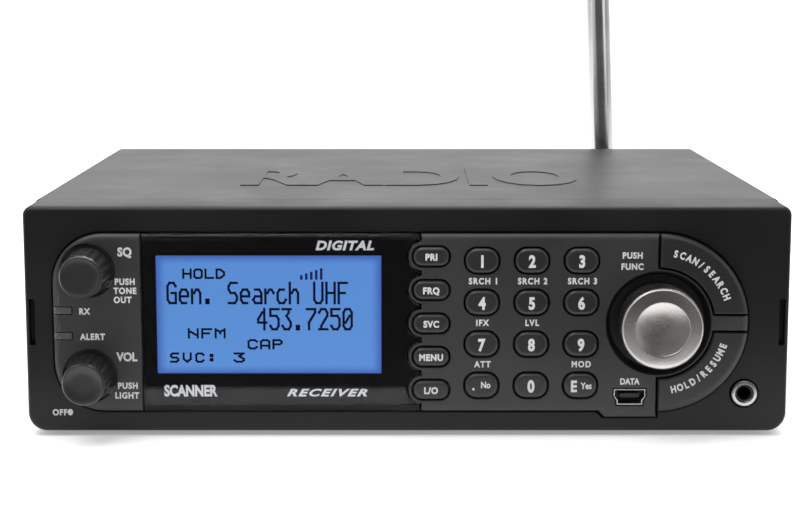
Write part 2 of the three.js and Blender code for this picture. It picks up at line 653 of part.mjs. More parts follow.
function caseTray() {
  const trayTop = bezelTop - BEZEL.wall - 2 * GAP;
  const stepRear = bodyFront + BODY.tray;
  const outer = join(
    block(-trayNose, trayNose, lipRear + KEY.travel + GAP, stepRear, bodyBottom, trayTop),
    block(-traySide, traySide, bodyFront, rearInside - GAP, bodyBottom, trayTop));
  const hollow = join(
    block(-noseInside, noseInside, 0, stepRear + 1, floorTop, 2 * bezelTop),
    block(-trayInside, trayInside, stepRear, BODY.depth, floorTop, 2 * bezelTop));
  const slotPitch = (2 * SPEAKER.radius - 8) / SPEAKER.slots;
  const slots = Array.from({ length: SPEAKER.slots }, (_, index) => {
    const offset = (index - (SPEAKER.slots - 1) / 2) * slotPitch;
    const half = Math.sqrt((SPEAKER.radius - 5) ** 2 - offset ** 2);
    return block(SPEAKER.x - half, SPEAKER.x + half, SPEAKER.y + offset - slotPitch / 5,
      SPEAKER.y + offset + slotPitch / 5, 0, floorTop + 1);
  });
  const posts = mainPosts.map(([x, y]) =>
    post(x, y, MAIN_BOARD.postRadius, floorTop - BODY.tray / 2, postTop));
  return cut(join(cut(outer, hollow), ...posts), ...slots, ...sideHoles(BRACKET.holeRadius));
}
add("case_tray", caseTray(), FINISH.tray);

function topCover() {
  const outer = roundRect(-bodySide, bodySide, bodyBottom - 2 * BODY.cover, bodyTop, 0.01, BODY.coverRadius);
  const inner = block(-bodySide + BODY.cover, bodySide - BODY.cover, 0, BODY.depth + 1, -1, bodyTop - BODY.cover);
  const below = block(-BEZEL.width, BEZEL.width, 0, BODY.depth + 1, -BEZEL.height, bodyBottom);
  return cut(slab(outer, bodyFront, BODY.depth), inner, below, ...sideHoles(BRACKET.coverHoleRadius));
}
add("top_cover", topCover(), FINISH.cover);

const powerZ = mainBoardTop + GAP + POWER_SOCKET.height / 2;
const speakerSocketZ = mainBoardTop + GAP + SPEAKER_SOCKET.height / 2;

add("rear_panel", cut(
  block(-trayInside + GAP, trayInside - GAP, rearInside, rearFace, floorTop + GAP, bodyTop - BODY.cover - GAP),
  bar(AERIAL_SOCKET.x, AERIAL_SOCKET.z, AERIAL_SOCKET.radius + GAP, rearInside - 1, rearFace + 1),
  block(POWER_SOCKET.x - POWER_SOCKET.width / 2 - GAP, POWER_SOCKET.x + POWER_SOCKET.width / 2 + GAP,
    rearInside - 1, rearFace + 1, powerZ - POWER_SOCKET.height / 2 - GAP, powerZ + POWER_SOCKET.height / 2 + GAP),
  bar(SPEAKER_SOCKET.x, speakerSocketZ, SPEAKER_SOCKET.ring + GAP, rearInside - 1, rearFace + 1),
), FINISH.cover);

for (const side of ["left", "right"]) {
  for (const end of ["front", "rear"]) {
    const x = (side === "left" ? -1 : 1) * (bodySide - FOOT.insetX);
    const y = end === "front" ? bodyFront + FOOT.insetFront : BODY.depth - FOOT.insetRear;
    add(`foot_${end}_${side}`, post(x, y, FOOT.radius, 0, FOOT.height, 24), FINISH.rubber);
  }
}

// ---------------------------------------------------------------------------------------------
// Inside: speaker, main board and its screening can.
// ---------------------------------------------------------------------------------------------

function speaker() {
  const base = floorTop + GAP;
  const top = base + SPEAKER.height;
  const cone = turned([
    [0, base + 6], [SPEAKER.radius - 6, base + 0.5], [SPEAKER.radius - 2, base],
    [SPEAKER.radius, base], [SPEAKER.radius, base + SPEAKER.rim],
    [SPEAKER.magnetRadius, top - 7], [SPEAKER.magnetRadius, top], [0, top],
  ], 24);
  return cone.rotate([90, 0, 0]).scale([1, 1, 1]).translate([SPEAKER.x, SPEAKER.y, 0]);
}
add("speaker", speaker(), FINISH.blackPlastic);

function mainBoard() {
  const plate = block(-mainBoardSide, mainBoardSide, MAIN_BOARD.front, mainBoardRear, mainBoardBottom, mainBoardTop);
  const chips = [[-50, 60, 18, 18, 2], [-20, 50, 10, 14, 2], [-18, 96, 12, 12, 3], [-62, 100, 14, 8, 9]];
  const parts = chips.map(([x, y, wide, deep, tall]) =>
    block(x - wide / 2, x + wide / 2, y - deep / 2, y + deep / 2, mainBoardTop - 0.5, mainBoardTop + tall));
  return join(plate, ...parts);
}
add("main_board", mainBoard(), FINISH.board);

function shieldCan() {
  const { x, y, width, depth, height, sheet } = SHIELD;
  const base = mainBoardTop + GAP;
  const outer = block(x - width / 2, x + width / 2, y - depth / 2, y + depth / 2, base, base + height);
  const inner = block(x - width / 2 + sheet, x + width / 2 - sheet, y - depth / 2 + sheet,
    y + depth / 2 - sheet, base - 1, base + height - sheet);
  return cut(outer, inner);
}
add("shield_can", shieldCan(), FINISH.steel);

// ---------------------------------------------------------------------------------------------
// Rear sockets.
// ---------------------------------------------------------------------------------------------

function aerialSocket() {
  const { x, z, radius, lug, bore, length, nutRadius, nut } = AERIAL_SOCKET;
  const mouth = rearFace + length;
  const lugs = [-1, 1].map((side) =>
    block(x + side * radius - lug, x + side * radius + lug, mouth - 4.4, mouth - 2.6, z - lug, z + lug));
  return cut(
    join(
      bar(x, z, radius, rearInside - 10, mouth, radius, 24),
      bar(x, z, nutRadius, rearInside - GAP - nut, rearInside - GAP, nutRadius, 6),
      ...lugs,
    ),
    bar(x, z, bore, rearInside - 5, mouth + 1),
  );
}
add("aerial_socket", aerialSocket(), FINISH.steel);

function powerSocket() {
  const { x, width, height, depth, hole, pin } = POWER_SOCKET;
  const rear = rearFace + 0.5;
  const body = block(x - width / 2, x + width / 2, rear - depth, rear, powerZ - height / 2, powerZ + height / 2);
  const bore = bar(x, powerZ, hole, rear - depth + 3, rear + 1);
  return join(cut(body, bore), bar(x, powerZ, pin, rear - depth + 2, rear - 1));
}
add("power_socket", powerSocket(), FINISH.blackPlastic);

function externalSpeakerSocket() {
  const { x, width, height, depth, ring, hole } = SPEAKER_SOCKET;
  const rear = rearInside - GAP;
  const body = block(x - width / 2, x + width / 2, rear - depth, rear,
    speakerSocketZ - height / 2, speakerSocketZ + height / 2);
  const nose = bar(x, speakerSocketZ, ring, rear - 1, rearFace + 1.5, ring, 24);
  return cut(join(body, nose), bar(x, speakerSocketZ, hole, rear - depth + 2, rearFace + 3));
}
add("external_speaker_socket", externalSpeakerSocket(), FINISH.blackPlastic);

// ---------------------------------------------------------------------------------------------
// Antenna: a bayonet plug that swivels on the socket, a hinged elbow, and nested tubes that
// pull out. It leans a little, as it was left.
// ---------------------------------------------------------------------------------------------

const plugFront = rearFace + 1;
const plugRear = plugFront + AERIAL.collar;
const pivotY = plugRear + AERIAL.earRadius + GAP;

const swivel = new THREE.Group();
swivel.position.set(AERIAL_SOCKET.x, 0, AERIAL_SOCKET.z);
swivel.rotation.y = THREE.MathUtils.degToRad(AERIAL.lean);
scanner.add(swivel);

const mast = new THREE.Group();
mast.position.y = pivotY;
mast.rotation.x = THREE.MathUtils.degToRad(AERIAL.tilt);
swivel.add(mast);

// A round bar along X, centred on the pivot's axis.
function crossBar(radius, x0, x1, y = 0) {
  const geometry = new THREE.CylinderGeometry(radius, radius, x1 - x0, 24);
  return toSolid(geometry.rotateZ(Math.PI / 2).translate((x0 + x1) / 2, y, 0));
}

function antennaPlug() {
  const socketSpace = AERIAL_SOCKET.radius + AERIAL_SOCKET.lug + 2 * GAP;
  const collarRadius = socketSpace + AERIAL.collarWall;
  const socketEnd = rearFace + AERIAL_SOCKET.length + GAP;
  const earOuter = AERIAL.tang / 2 + GAP + AERIAL.ear;
  const earInner = AERIAL.tang / 2 + GAP;
  const ears = [-1, 1].map((side) => join(
    crossBar(AERIAL.earRadius, Math.min(side * earInner, side * earOuter), Math.max(side * earInner, side * earOuter), pivotY),
    block(Math.min(side * earInner, side * earOuter), Math.max(side * earInner, side * earOuter),
      plugRear - 1, pivotY, -AERIAL.earRadius, AERIAL.earRadius),
  ));
  const pin = crossBar(AERIAL.pivotPinRadius, -earOuter + 1, earOuter - 1, pivotY);
  return cut(
    join(bar(0, 0, collarRadius, plugFront, plugRear, collarRadius, 24), ...ears, pin),
    bar(0, 0, socketSpace, plugFront - 1, socketEnd, socketSpace, 24),
  );
}
add("antenna_plug", antennaPlug(), FINISH.chrome, swivel);

// Turns a solid made along Y to stand along +Z.
const upright = (solid) => solid.rotate([90, 0, 0]);

const ferruleRadius = AERIAL.tubeRadius + GAP + AERIAL.ferruleWall;
const ferruleBottom = AERIAL.earRadius + AERIAL.neck - 2;
const ferruleTop = ferruleBottom + AERIAL.ferrule;
const tubeBottom = ferruleBottom + 4;

function antennaElbow() {
  const half = AERIAL.tang / 2;
  const knuckle = crossBar(AERIAL.earRadius - GAP, -half, half);
  const neck = block(-half, half, -AERIAL.earRadius + 1.5, AERIAL.earRadius - 1.5, 0, ferruleBottom + 1);
  const ferrule = post(0, 0, ferruleRadius, ferruleBottom, ferruleTop, 24);
  return cut(
    join(knuckle, neck, ferrule),
    crossBar(AERIAL.pivotPinRadius + GAP, -half - 1, half + 1),
    post(0, 0, AERIAL.tubeRadius + GAP, tubeBottom - GAP, ferruleTop + 1, 24),
  );
}
add("antenna_elbow", antennaElbow(), FINISH.chrome, mast);

const tubeTop = tubeBottom + AERIAL.tubeLength;
for (let stage = 0; stage < AERIAL.stages; stage += 1) {
  const radius = AERIAL.tubeRadius - stage * (AERIAL.tubeWall + GAP);
  const bottom = tubeBottom + 3 * stage;
  const tube = cut(
    post(0, 0, radius, bottom, tubeTop + 1.5 * stage, 24),
    post(0, 0, radius - AERIAL.tubeWall, bottom - 1, tubeTop + 1.5 * stage + 1, 24),
  );
  add(`antenna_tube_${stage + 1}`, tube, FINISH.chrome, mast);
}

function antennaTip() {
  const radius = AERIAL.tubeRadius - AERIAL.stages * (AERIAL.tubeWall + GAP);
  const top = tubeTop + 1.5 * AERIAL.stages;
  return join(
    post(0, 0, radius, tubeBottom + 3 * AERIAL.stages, top, 24),
    post(0, 0, AERIAL.capRadius, top - GAP, top + AERIAL.capHeight, 24),
  );
}
add("antenna_tip", antennaTip(), FINISH.chrome, mast);

// ---------------------------------------------------------------------------------------------
// The origin goes to the middle of the footprint of everything, on the surface under the feet.
// ---------------------------------------------------------------------------------------------

scanner.updateMatrixWorld(true);
const middle = new THREE.Box3().setFromObject(scanner, true).getCenter(new THREE.Vector3());
scanner.position.y = -middle.y;

const model = new THREE.Group();
model.add(scanner);
export default model;
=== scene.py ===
import json
import math

import bmesh
import bpy
from mathutils import Matrix, Vector
from mathutils.geometry import tessellate_polygon


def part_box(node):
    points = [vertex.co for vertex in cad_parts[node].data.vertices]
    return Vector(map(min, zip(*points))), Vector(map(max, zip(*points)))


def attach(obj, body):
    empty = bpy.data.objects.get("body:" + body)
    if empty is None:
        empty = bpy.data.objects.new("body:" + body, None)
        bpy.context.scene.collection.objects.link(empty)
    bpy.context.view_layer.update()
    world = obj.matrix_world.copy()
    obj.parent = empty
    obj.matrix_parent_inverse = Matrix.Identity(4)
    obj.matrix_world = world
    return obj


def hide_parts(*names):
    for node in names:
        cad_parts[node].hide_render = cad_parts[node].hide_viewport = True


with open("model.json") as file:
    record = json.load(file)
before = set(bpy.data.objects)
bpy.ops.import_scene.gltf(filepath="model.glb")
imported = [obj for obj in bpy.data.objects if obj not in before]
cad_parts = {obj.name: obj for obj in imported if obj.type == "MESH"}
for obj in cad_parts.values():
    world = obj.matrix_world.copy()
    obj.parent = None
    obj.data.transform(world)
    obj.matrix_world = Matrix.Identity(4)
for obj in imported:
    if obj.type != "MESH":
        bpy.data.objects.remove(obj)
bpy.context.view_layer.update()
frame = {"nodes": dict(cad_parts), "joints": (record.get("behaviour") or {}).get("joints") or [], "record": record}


# ---------------------------------------------------------------------------------------------
# Front bezel: one injection-moulded ABS frame, satin black, that snaps over the front of the
# case. Its long edges are rounded, and slots at both ends take the keys that release the set
# from a dashboard sleeve.

MM = 0.001
BEZEL_RADIUS_TOP = 2.2 * MM
BEZEL_RADIUS_BOTTOM = 4.5 * MM
BEZEL_EDGE = 1.2 * MM
BEZEL_FACE = 2.4 * MM
BEZEL_WALL = 2.0 * MM
PANEL_LIP = 1.8 * MM  # hidden flange behind the bezel, round the whole raised panel
PANEL_CORNER = 12.0 * MM
PANEL_GAP = 0.3 * MM
TAB_WIDTH = 12.6 * MM
TAB_DROP = 1.5 * MM
TAB_SLANT = 1.5 * MM
SLOT_WIDTH = 1.4 * MM
SLOT_HEIGHT = 11.3 * MM
SLOT_EDGE = 1.0 * MM
SLOT_DEPTH = 2.2 * MM

bezel_low, bezel_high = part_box("front_bezel")
panel_low, panel_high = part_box("control_panel")
dial_low, dial_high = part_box("tuning_knob")
dial = (dial_low + dial_high) / 2
panel_left = panel_low.x + PANEL_LIP
panel_top = panel_high.z - PANEL_LIP
panel_bottom = panel_low.z + PANEL_LIP
panel_half = (panel_top - panel_bottom) / 2
panel_face = panel_low.y
bezel_face = bezel_low.y


def arc(x, z, radius, start, end, count=16):
    """Points from angle start to angle end, in degrees, counted up from +X towards +Z."""
    angles = [math.radians(start + (end - start) * i / count) for i in range(count + 1)]
    return [(x + radius * math.cos(a), z + radius * math.sin(a)) for a in angles]


def round_rect(x0, x1, z0, z1, low_radius, high_radius=None, count=12):
    high = low_radius if high_radius is None else high_radius
    return (arc(x1 - low_radius, z0 + low_radius, low_radius, -90, 0, count)
            + arc(x1 - high, z1 - high, high, 0, 90, count)
            + arc(x0 + high, z1 - high, high, 90, 180, count)
            + arc(x0 + low_radius, z0 + low_radius, low_radius, 180, 270, count))


def panel_outline(grow):
    """The raised panel's whole outline, anticlockwise, grown by an even margin."""
    radius, corner = panel_half + grow, PANEL_CORNER + grow
    left, bottom, top = panel_left - grow, panel_bottom - grow, panel_top + grow
    tab_left = dial.x - TAB_WIDTH - grow
    low_angle = -math.degrees(math.acos(grow / radius))
    return (arc(left + corner, bottom + corner, corner, 180, 270)
            + [(tab_left - TAB_SLANT, bottom), (tab_left, bottom - TAB_DROP),
               (dial.x + grow, bottom - TAB_DROP)]
            + arc(dial.x, dial.z, radius, low_angle, 90, 64)
            + arc(left + corner, top - corner, corner, 90, 180))


def tidy_loop(points):
    """Drops points that repeat the one before, and returns the loop anticlockwise."""
    kept = [p for i, p in enumerate(points) if math.dist(p, points[i - 1]) > 1e-7]
    area = sum(p[0] * q[1] - q[0] * p[1] for p, q in zip(kept, kept[1:] + kept[:1]))
    return kept if area > 0 else kept[::-1]


def inset(points, distance, share=None):
    """Moves each edge of an anticlockwise loop inwards. share(p, q) scales it edge by edge."""
    pairs = list(zip(points, points[1:] + points[:1]))
    edges = []
    for p, q in pairs:
        length = math.dist(p, q)
        normal = (-(q[1] - p[1]) / length, (q[0] - p[0]) / length)
        edges.append((normal, distance * (share(p, q) if share else 1)))
    moved = []
    for i, (x, z) in enumerate(points):
        (a, da), (b, db) = edges[i - 1], edges[i]
        cross = a[0] * b[1] - a[1] * b[0]
        if abs(cross) < 0.02:
            step = (da + db) / 2
            moved.append((x + (a[0] + b[0]) / 2 * step, z + (a[1] + b[1]) / 2 * step))
        else:
            moved.append((x + (da * b[1] - db * a[1]) / cross, z + (a[0] * db - b[0] * da) / cross))
    return moved


def ring(bm, points, y):
    return [bm.verts.new((x, y, z)) for x, z in points]


def strip(bm, first, second):
    count = len(first)
    for i in range(count):
        j = (i + 1) % count
        bm.faces.new((first[i], first[j], second[j], second[i]))


def cap(bm, *rings):
    """Fills the flat area inside the first ring and outside the others."""
    verts = [v for loop in rings for v in loop]
    reach = [max(v.co[i] for v in rings[0]) - min(v.co[i] for v in rings[0]) for i in range(3)]
    a, b = (i for i in range(3) if i != reach.index(min(reach)))
    polygons = [[Vector((v.co[a], v.co[b], 0)) for v in loop] for loop in rings]
    for corners in tessellate_polygon(polygons):
        face = [verts[i] for i in corners]
        if len(set(face)) == 3 and not bm.faces.get(face):
            bm.faces.new(face)


def rounded(edge, front, steps=5, spread=1.0):
    """A profile of (inset, y) for a quarter-round edge, from the face to the side. It starts with
    a narrow flat band, so the face beside the edge is shaded flat. spread widens it over the face."""
    turns = [math.radians(90 * i / steps) for i in range(steps + 1)]
    curve = [(spread * edge * (1 - math.sin(t)), front + edge * (1 - math.cos(t))) for t in turns]
    return [(spread * edge * 1.15 + 0.03 * MM, front)] + curve


def sweep(bm, loop, profile, outward=1, share=None):
    """Rings that follow a profile round a loop. outward is 1 on a rim and -1 in a hole."""
    rings = [ring(bm, inset(loop, outward * d, share), y) for d, y in profile]
    for first, second in zip(rings, rings[1:]):
        strip(bm, first, second)
    return rings[0], rings[-1]


def closed_sweep(bm, loop, profile, outward=1, share=None):
    """A sweep closed with a flat face at both ends."""
    for end in sweep(bm, loop, profile, outward, share):
        cap(bm, end)


def middle_of(node):
    low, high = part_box(node)
    return (low + high) / 2


def finish_mesh(name, bm, material, body, replaces=(), smooth=35):
    bmesh.ops.remove_doubles(bm, verts=bm.verts, dist=1e-7)
    bmesh.ops.recalc_face_normals(bm, faces=bm.faces)
    mesh = bpy.data.meshes.new(name)
    bm.to_mesh(mesh)
    bm.free()
    mesh.materials.append(material)
    mesh.shade_smooth()
    mesh.set_sharp_from_angle(angle=math.radians(smooth))
    piece = bpy.data.objects.new(name, mesh)
    bpy.context.scene.collection.objects.link(piece)
    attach(piece, body)
    if replaces:
        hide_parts(*replaces)
    return piece


def node_group(name, inputs, outputs):
    group = bpy.data.node_groups.new(name, "ShaderNodeTree")
    for label, default in inputs:
        socket = group.interface.new_socket(label, in_out="INPUT", socket_type="NodeSocketFloat")
        socket.default_value = default
    for label, kind in outputs:
        group.interface.new_socket(label, in_out="OUTPUT", socket_type=kind)
    return group, group.nodes.new("NodeGroupInput"), group.nodes.new("NodeGroupOutput")


def grain_group():
    """Moulded or sprayed grain: a fine height, and a slow drift in roughness and colour."""
    group, given, out = node_group(
        "surface_grain",
        [("Grain Scale", 4000), ("Drift Scale", 40), ("Roughness", 0.5), ("Roughness Drift", 0.06)],
        [("Height", "NodeSocketFloat"), ("Roughness", "NodeSocketFloat"), ("Drift", "NodeSocketFloat")])
    nodes, links = group.nodes, group.links
    place = nodes.new("ShaderNodeTexCoord")
    fine = nodes.new("ShaderNodeTexNoise")
    fine.inputs["Detail"].default_value = 3
    slow = nodes.new("ShaderNodeTexNoise")
    slow.inputs["Detail"].default_value = 4
    spread = nodes.new("ShaderNodeMapRange")
    spread.inputs["From Min"].default_value = 0.3
    spread.inputs["From Max"].default_value = 0.7
    spread.inputs["To Min"].default_value = -1
    amount = nodes.new("ShaderNodeMath")
    amount.operation = "MULTIPLY_ADD"
    links.new(place.outputs["Object"], fine.inputs["Vector"])
    links.new(place.outputs["Object"], slow.inputs["Vector"])
    links.new(given.outputs["Grain Scale"], fine.inputs["Scale"])
    links.new(given.outputs["Drift Scale"], slow.inputs["Scale"])
    links.new(slow.outputs["Fac"], spread.inputs["Value"])
    links.new(spread.outputs["Result"], amount.inputs[0])
    links.new(given.outputs["Roughness Drift"], amount.inputs[1])
    links.new(given.outputs["Roughness"], amount.inputs[2])
    links.new(fine.outputs["Fac"], out.inputs["Height"])
    links.new(amount.outputs[0], out.inputs["Roughness"])
    links.new(slow.outputs["Fac"], out.inputs["Drift"])
    return group


surface_grain = grain_group()


def blank_material(name):
    material = bpy.data.materials.new(name)
    material.use_nodes = True
    nodes, links = material.node_tree.nodes, material.node_tree.links
    return material, nodes, links, nodes["Principled BSDF"]


def finish(name, dark, light, roughness, metallic=0.0, grain=4000, drift=40, height=0.1,
           drift_amount=0.06, coat=0.0, specular=0.5):
    """A material whose colour drifts between two close tones, with its own grain."""
    material, nodes, links, shader = blank_material(name)
    shader.inputs["Metallic"].default_value = metallic
    shader.inputs["Coat Weight"].default_value = coat
    shader.inputs["Coat Roughness"].default_value = 0.08
    shader.inputs["Specular IOR Level"].default_value = specular
    texture = nodes.new("ShaderNodeGroup")
    texture.node_tree = surface_grain
    texture.inputs["Grain Scale"].default_value = grain
    texture.inputs["Drift Scale"].default_value = drift
    texture.inputs["Roughness"].default_value = roughness
    texture.inputs["Roughness Drift"].default_value = drift_amount
    tone = nodes.new("ShaderNodeValToRGB")
    tone.color_ramp.elements[0].position = 0.35
    tone.color_ramp.elements[1].position = 0.65
    tone.color_ramp.elements[0].color = (*dark, 1)
    tone.color_ramp.elements[1].color = (*light, 1)
    bump = nodes.new("ShaderNodeBump")
    bump.inputs["Strength"].default_value = height
    bump.inputs["Distance"].default_value = 0.02 * MM
    links.new(texture.outputs["Drift"], tone.inputs["Fac"])
    links.new(tone.outputs["Color"], shader.inputs["Base Color"])
    links.new(texture.outputs["Roughness"], shader.inputs["Roughness"])
    links.new(texture.outputs["Height"], bump.inputs["Height"])
    links.new(bump.outputs["Normal"], shader.inputs["Normal"])
    return material


bezel_plastic = finish("bezel_plastic", (0.0065, 0.0068, 0.0072), (0.0085, 0.0088, 0.0092), 0.42,
                       grain=5200, height=0.35, specular=0.3)

phones = middle_of("phones_socket")
PHONES_RADIUS = 3.15 * MM


def slimmer_ends(p, q):
    """The upright end edges of the bezel are less rounded, which leaves room for the slots."""
    return 0.6 + 0.4 * abs(p[0] - q[0]) / math.dist(p, q)


def build_bezel():
    bm = bmesh.new()
    outer = tidy_loop(round_rect(bezel_low.x, bezel_high.x, bezel_low.z, bezel_high.z,
                                 BEZEL_RADIUS_BOTTOM, BEZEL_RADIUS_TOP))
    inner = tidy_loop(round_rect(
        bezel_low.x + BEZEL_WALL, bezel_high.x - BEZEL_WALL, bezel_low.z + BEZEL_WALL,
        bezel_high.z - BEZEL_WALL, BEZEL_RADIUS_BOTTOM - BEZEL_WALL, BEZEL_RADIUS_TOP - BEZEL_WALL))
    holes = [tidy_loop(panel_outline(PANEL_GAP)),
             tidy_loop(arc(phones.x, phones.z, PHONES_RADIUS + PANEL_GAP, 0, 360, 48))]
    rim_front, rim_rear = sweep(bm, outer, rounded(BEZEL_EDGE, bezel_face) + [(0, bezel_high.y)], 1,
                                slimmer_ends)
    fronts, rears = [], []
    for hole in holes:
        profile = rounded(0.3 * MM, bezel_face, 3) + [(0, bezel_face + BEZEL_FACE)]
        front, rear = sweep(bm, hole, profile, outward=-1)
        fronts.append(front)
        rears.append(rear)
    slot_profile = [(0.04 * MM, bezel_face), (0, bezel_face + 0.05 * MM), (0, bezel_face + SLOT_DEPTH)]
    middle = (panel_top + panel_bottom) / 2
    for side, edge in ((-1, bezel_low.x + SLOT_EDGE), (1, bezel_high.x - SLOT_EDGE)):
        x0, x1 = sorted((edge, edge - side * SLOT_WIDTH))
        slot = round_rect(x0, x1, middle - SLOT_HEIGHT / 2, middle + SLOT_HEIGHT / 2, 0.25 * MM, count=3)
        front, end = sweep(bm, tidy_loop(slot), slot_profile, outward=-1)
        fronts.append(front)
        cap(bm, end)
    cap(bm, rim_front, *fronts)
    inner_rear, inner_front = sweep(bm, inner, [(0, bezel_high.y), (0, bezel_face + BEZEL_FACE)])
    cap(bm, rim_rear, inner_rear)
    cap(bm, inner_front, *rears)
    finish_mesh("front_bezel_shell", bm, bezel_plastic, "root", ["front_bezel"])


build_bezel()


# ---------------------------------------------------------------------------------------------
# Control panel: the round-ended left length of the raised panel, moulded ABS in dark grey with a
# soft edge. Two shallow wells hold the knobs, and two notches hold the status lights.

panel_plastic = finish("panel_plastic", (0.022, 0.022, 0.0235), (0.027, 0.027, 0.0285), 0.44,
                       grain=5200, height=0.4)
legend_ink = finish("legend_ink", (0.52, 0.52, 0.52), (0.57, 0.57, 0.57), 0.6, grain=9000, height=0.05)

PANEL_EDGE = 1.1 * MM
PANEL_SPREAD = 1.5  # the panel's soft edge is wider than it is deep
SEAM_SHARE = 0.12  # how much of the soft edge a seam between two pieces keeps
PANEL_SKIN = 2.2 * MM
KNOB_WELL_RADIUS = 6.5 * MM
KNOB_WELL_DEPTH = 1.2 * MM
KNOB_WELL_BORE = 3.4 * MM
WELL_MARGIN = 0.35 * MM  # from a knob's well to the start of the panel's soft edge
INK = 0.03 * MM
CUP_WALL = 0.4 * MM

control_seam = panel_high.x
lens_low, lens_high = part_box("display_lens")
small_knobs = {name: middle_of(f"{name}_shaft") for name in ("squelch", "volume")}
light_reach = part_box("status_light_pipe")[1].x
LIGHT_HEIGHT = 1.8 * MM
LIGHT_SPREAD = 3.1 * MM
light_heights = [dial.z + LIGHT_SPREAD, dial.z - LIGHT_SPREAD]


def seam_share(*seams):
    """Full rounding everywhere but on the upright edges that lie on a seam."""
    def share(p, q):
        on_seam = any(abs(p[0] - s) < 1e-6 and abs(q[0] - s) < 1e-6 for s in seams)
        return SEAM_SHARE if on_seam else 1
    return share


def raised_plate(name, outline, holes, material, replaces, share=None, rear=None, wells=()):
    """A plate with a soft front edge, holes right through, and round wells sunk in its face."""
    front = panel_face
    back = front + PANEL_SKIN if rear is None else rear
    bm = bmesh.new()
    side = [(0, back)]
    edge = rounded(PANEL_EDGE, front, 7, PANEL_SPREAD)
    rim_front, rim_rear = sweep(bm, tidy_loop(outline), edge + side, 1, share)
    fronts, rears = [], []
    for hole in holes:
        first, last = sweep(bm, tidy_loop(hole), rounded(0.25 * MM, front, 3) + side, -1)
        fronts.append(first)
        rears.append(last)
    for (x, z, radius, depth, taper, bore) in wells:
        wall = rounded(0.1 * MM, front, 2) + [(0.0, front + 0.5 * MM), (-taper, front + depth)]
        first, last = sweep(bm, tidy_loop(arc(x, z, radius, 0, 360, 96)), wall, -1)
        deep = max(back, front + depth + 1 * MM)
        bore_first, bore_last = sweep(bm, tidy_loop(arc(x, z, bore, 0, 360, 48)),
                                      [(0, front + depth), (0, deep)], -1)
        cap(bm, last, bore_first)
        fronts.append(first)
        if deep > back:  # the well is deeper than the plate, so a cup stands out behind it
            cup = tidy_loop(arc(x, z, radius + CUP_WALL, 0, 360, 96))
            cup_first, cup_last = sweep(bm, cup, [(0, back), (0, deep)])
            cap(bm, cup_last, bore_last)
            rears.append(cup_first)
        else:
            rears.append(bore_last)
    cap(bm, rim_front, *fronts)
    cap(bm, rim_rear, *rears)
    return finish_mesh(name, bm, material, "root", replaces)


def build_control_panel():
    corner = PANEL_CORNER
    outline = ([(control_seam, panel_top)]
               + arc(panel_left + corner, panel_top - corner, corner, 90, 180)
               + notch(light_heights[0]) + notch(light_heights[1])
               + arc(panel_left + corner, panel_bottom + corner, corner, 180, 270)
               + [(control_seam, panel_bottom)])
    wells = [(at.x, at.z, KNOB_WELL_RADIUS, KNOB_WELL_DEPTH, 0.0, KNOB_WELL_BORE)
             for at in small_knobs.values()]

    def share(p, q):
        """Narrows the soft edge in the notches, and where a knob's well comes near it."""
        if max(p[0], q[0]) > light_reach and abs(p[1] - dial.z) < LIGHT_SPREAD + LIGHT_HEIGHT:
            return SEAM_SHARE
        to_knob = min(math.dist(p, (at.x, at.z)) for at in small_knobs.values())
        full_width = rounded(PANEL_EDGE, 0, 1, PANEL_SPREAD)[0][0]
        room = (to_knob - KNOB_WELL_RADIUS - WELL_MARGIN) / full_width
        return min(seam_share(control_seam)(p, q), max(SEAM_SHARE, room))
    raised_plate("control_panel_face", outline, [], panel_plastic, ["control_panel"],
                 share, wells=wells)


def notch(z):
    """The step in the panel's left edge that a status light fills, from its top to its bottom."""
    reach = light_reach + 0.02 * MM
    half = LIGHT_HEIGHT / 2 + 0.02 * MM
    return [(panel_left, z + half), (reach, z + half), (reach, z - half), (panel_left, z - half)]


build_control_panel()


CAPITAL_HEIGHT = 0.73  # of the built-in typeface, at size 1
SMALL_LETTERS = 1.5 * MM
small_type = {"narrow": 0.90, "bold": 0.04, "spacing": 1.16}


def text_mesh(text, height, narrow=0.8, bold=0.012, slant=0.0, spacing=1.0):
    """One line of lettering as a flat mesh in x and z, centred, with the given capital height."""
    curve = bpy.data.curves.new("lettering", "FONT")
    curve.body = text
    curve.offset = bold
    curve.shear = slant
    curve.space_character = spacing
    curve.extrude = 0.5
    curve.resolution_u = 4
    holder = bpy.data.objects.new("lettering", curve)
    bpy.context.scene.collection.objects.link(holder)
    bpy.context.view_layer.update()
    mesh = bpy.data.meshes.new_from_object(holder.evaluated_get(bpy.context.evaluated_depsgraph_get()))
    bpy.data.objects.remove(holder)
    bpy.data.curves.remove(curve)
    scale = height / CAPITAL_HEIGHT
    mesh.transform(Matrix.Diagonal((scale * narrow, scale, INK, 1)))
    xs = [v.co.x for v in mesh.vertices]
    mesh.transform(Matrix.Translation((-(min(xs) + max(xs)) / 2, -height / 2, 0)))
    mesh.transform(Matrix.Rotation(math.radians(90), 4, "X"))
    return mesh


def legends(name, lines, y, body="root", material=None):
    """Pad-printed lettering: each line is text, x, z, height, then any text_mesh options."""
    bm = bmesh.new()
    for text, x, z, height, *options in lines:
        settings = dict(options[0]) if options else {}
        turn = settings.pop("turn", 0.0)
        mesh = text_mesh(text, height, **settings)
        mesh.transform(Matrix.Translation((x, y, z)) @ Matrix.Rotation(turn, 4, "Y"))
        bm.from_mesh(mesh)
        bpy.data.meshes.remove(mesh)
    return finish_mesh(name, bm, material or legend_ink, body)


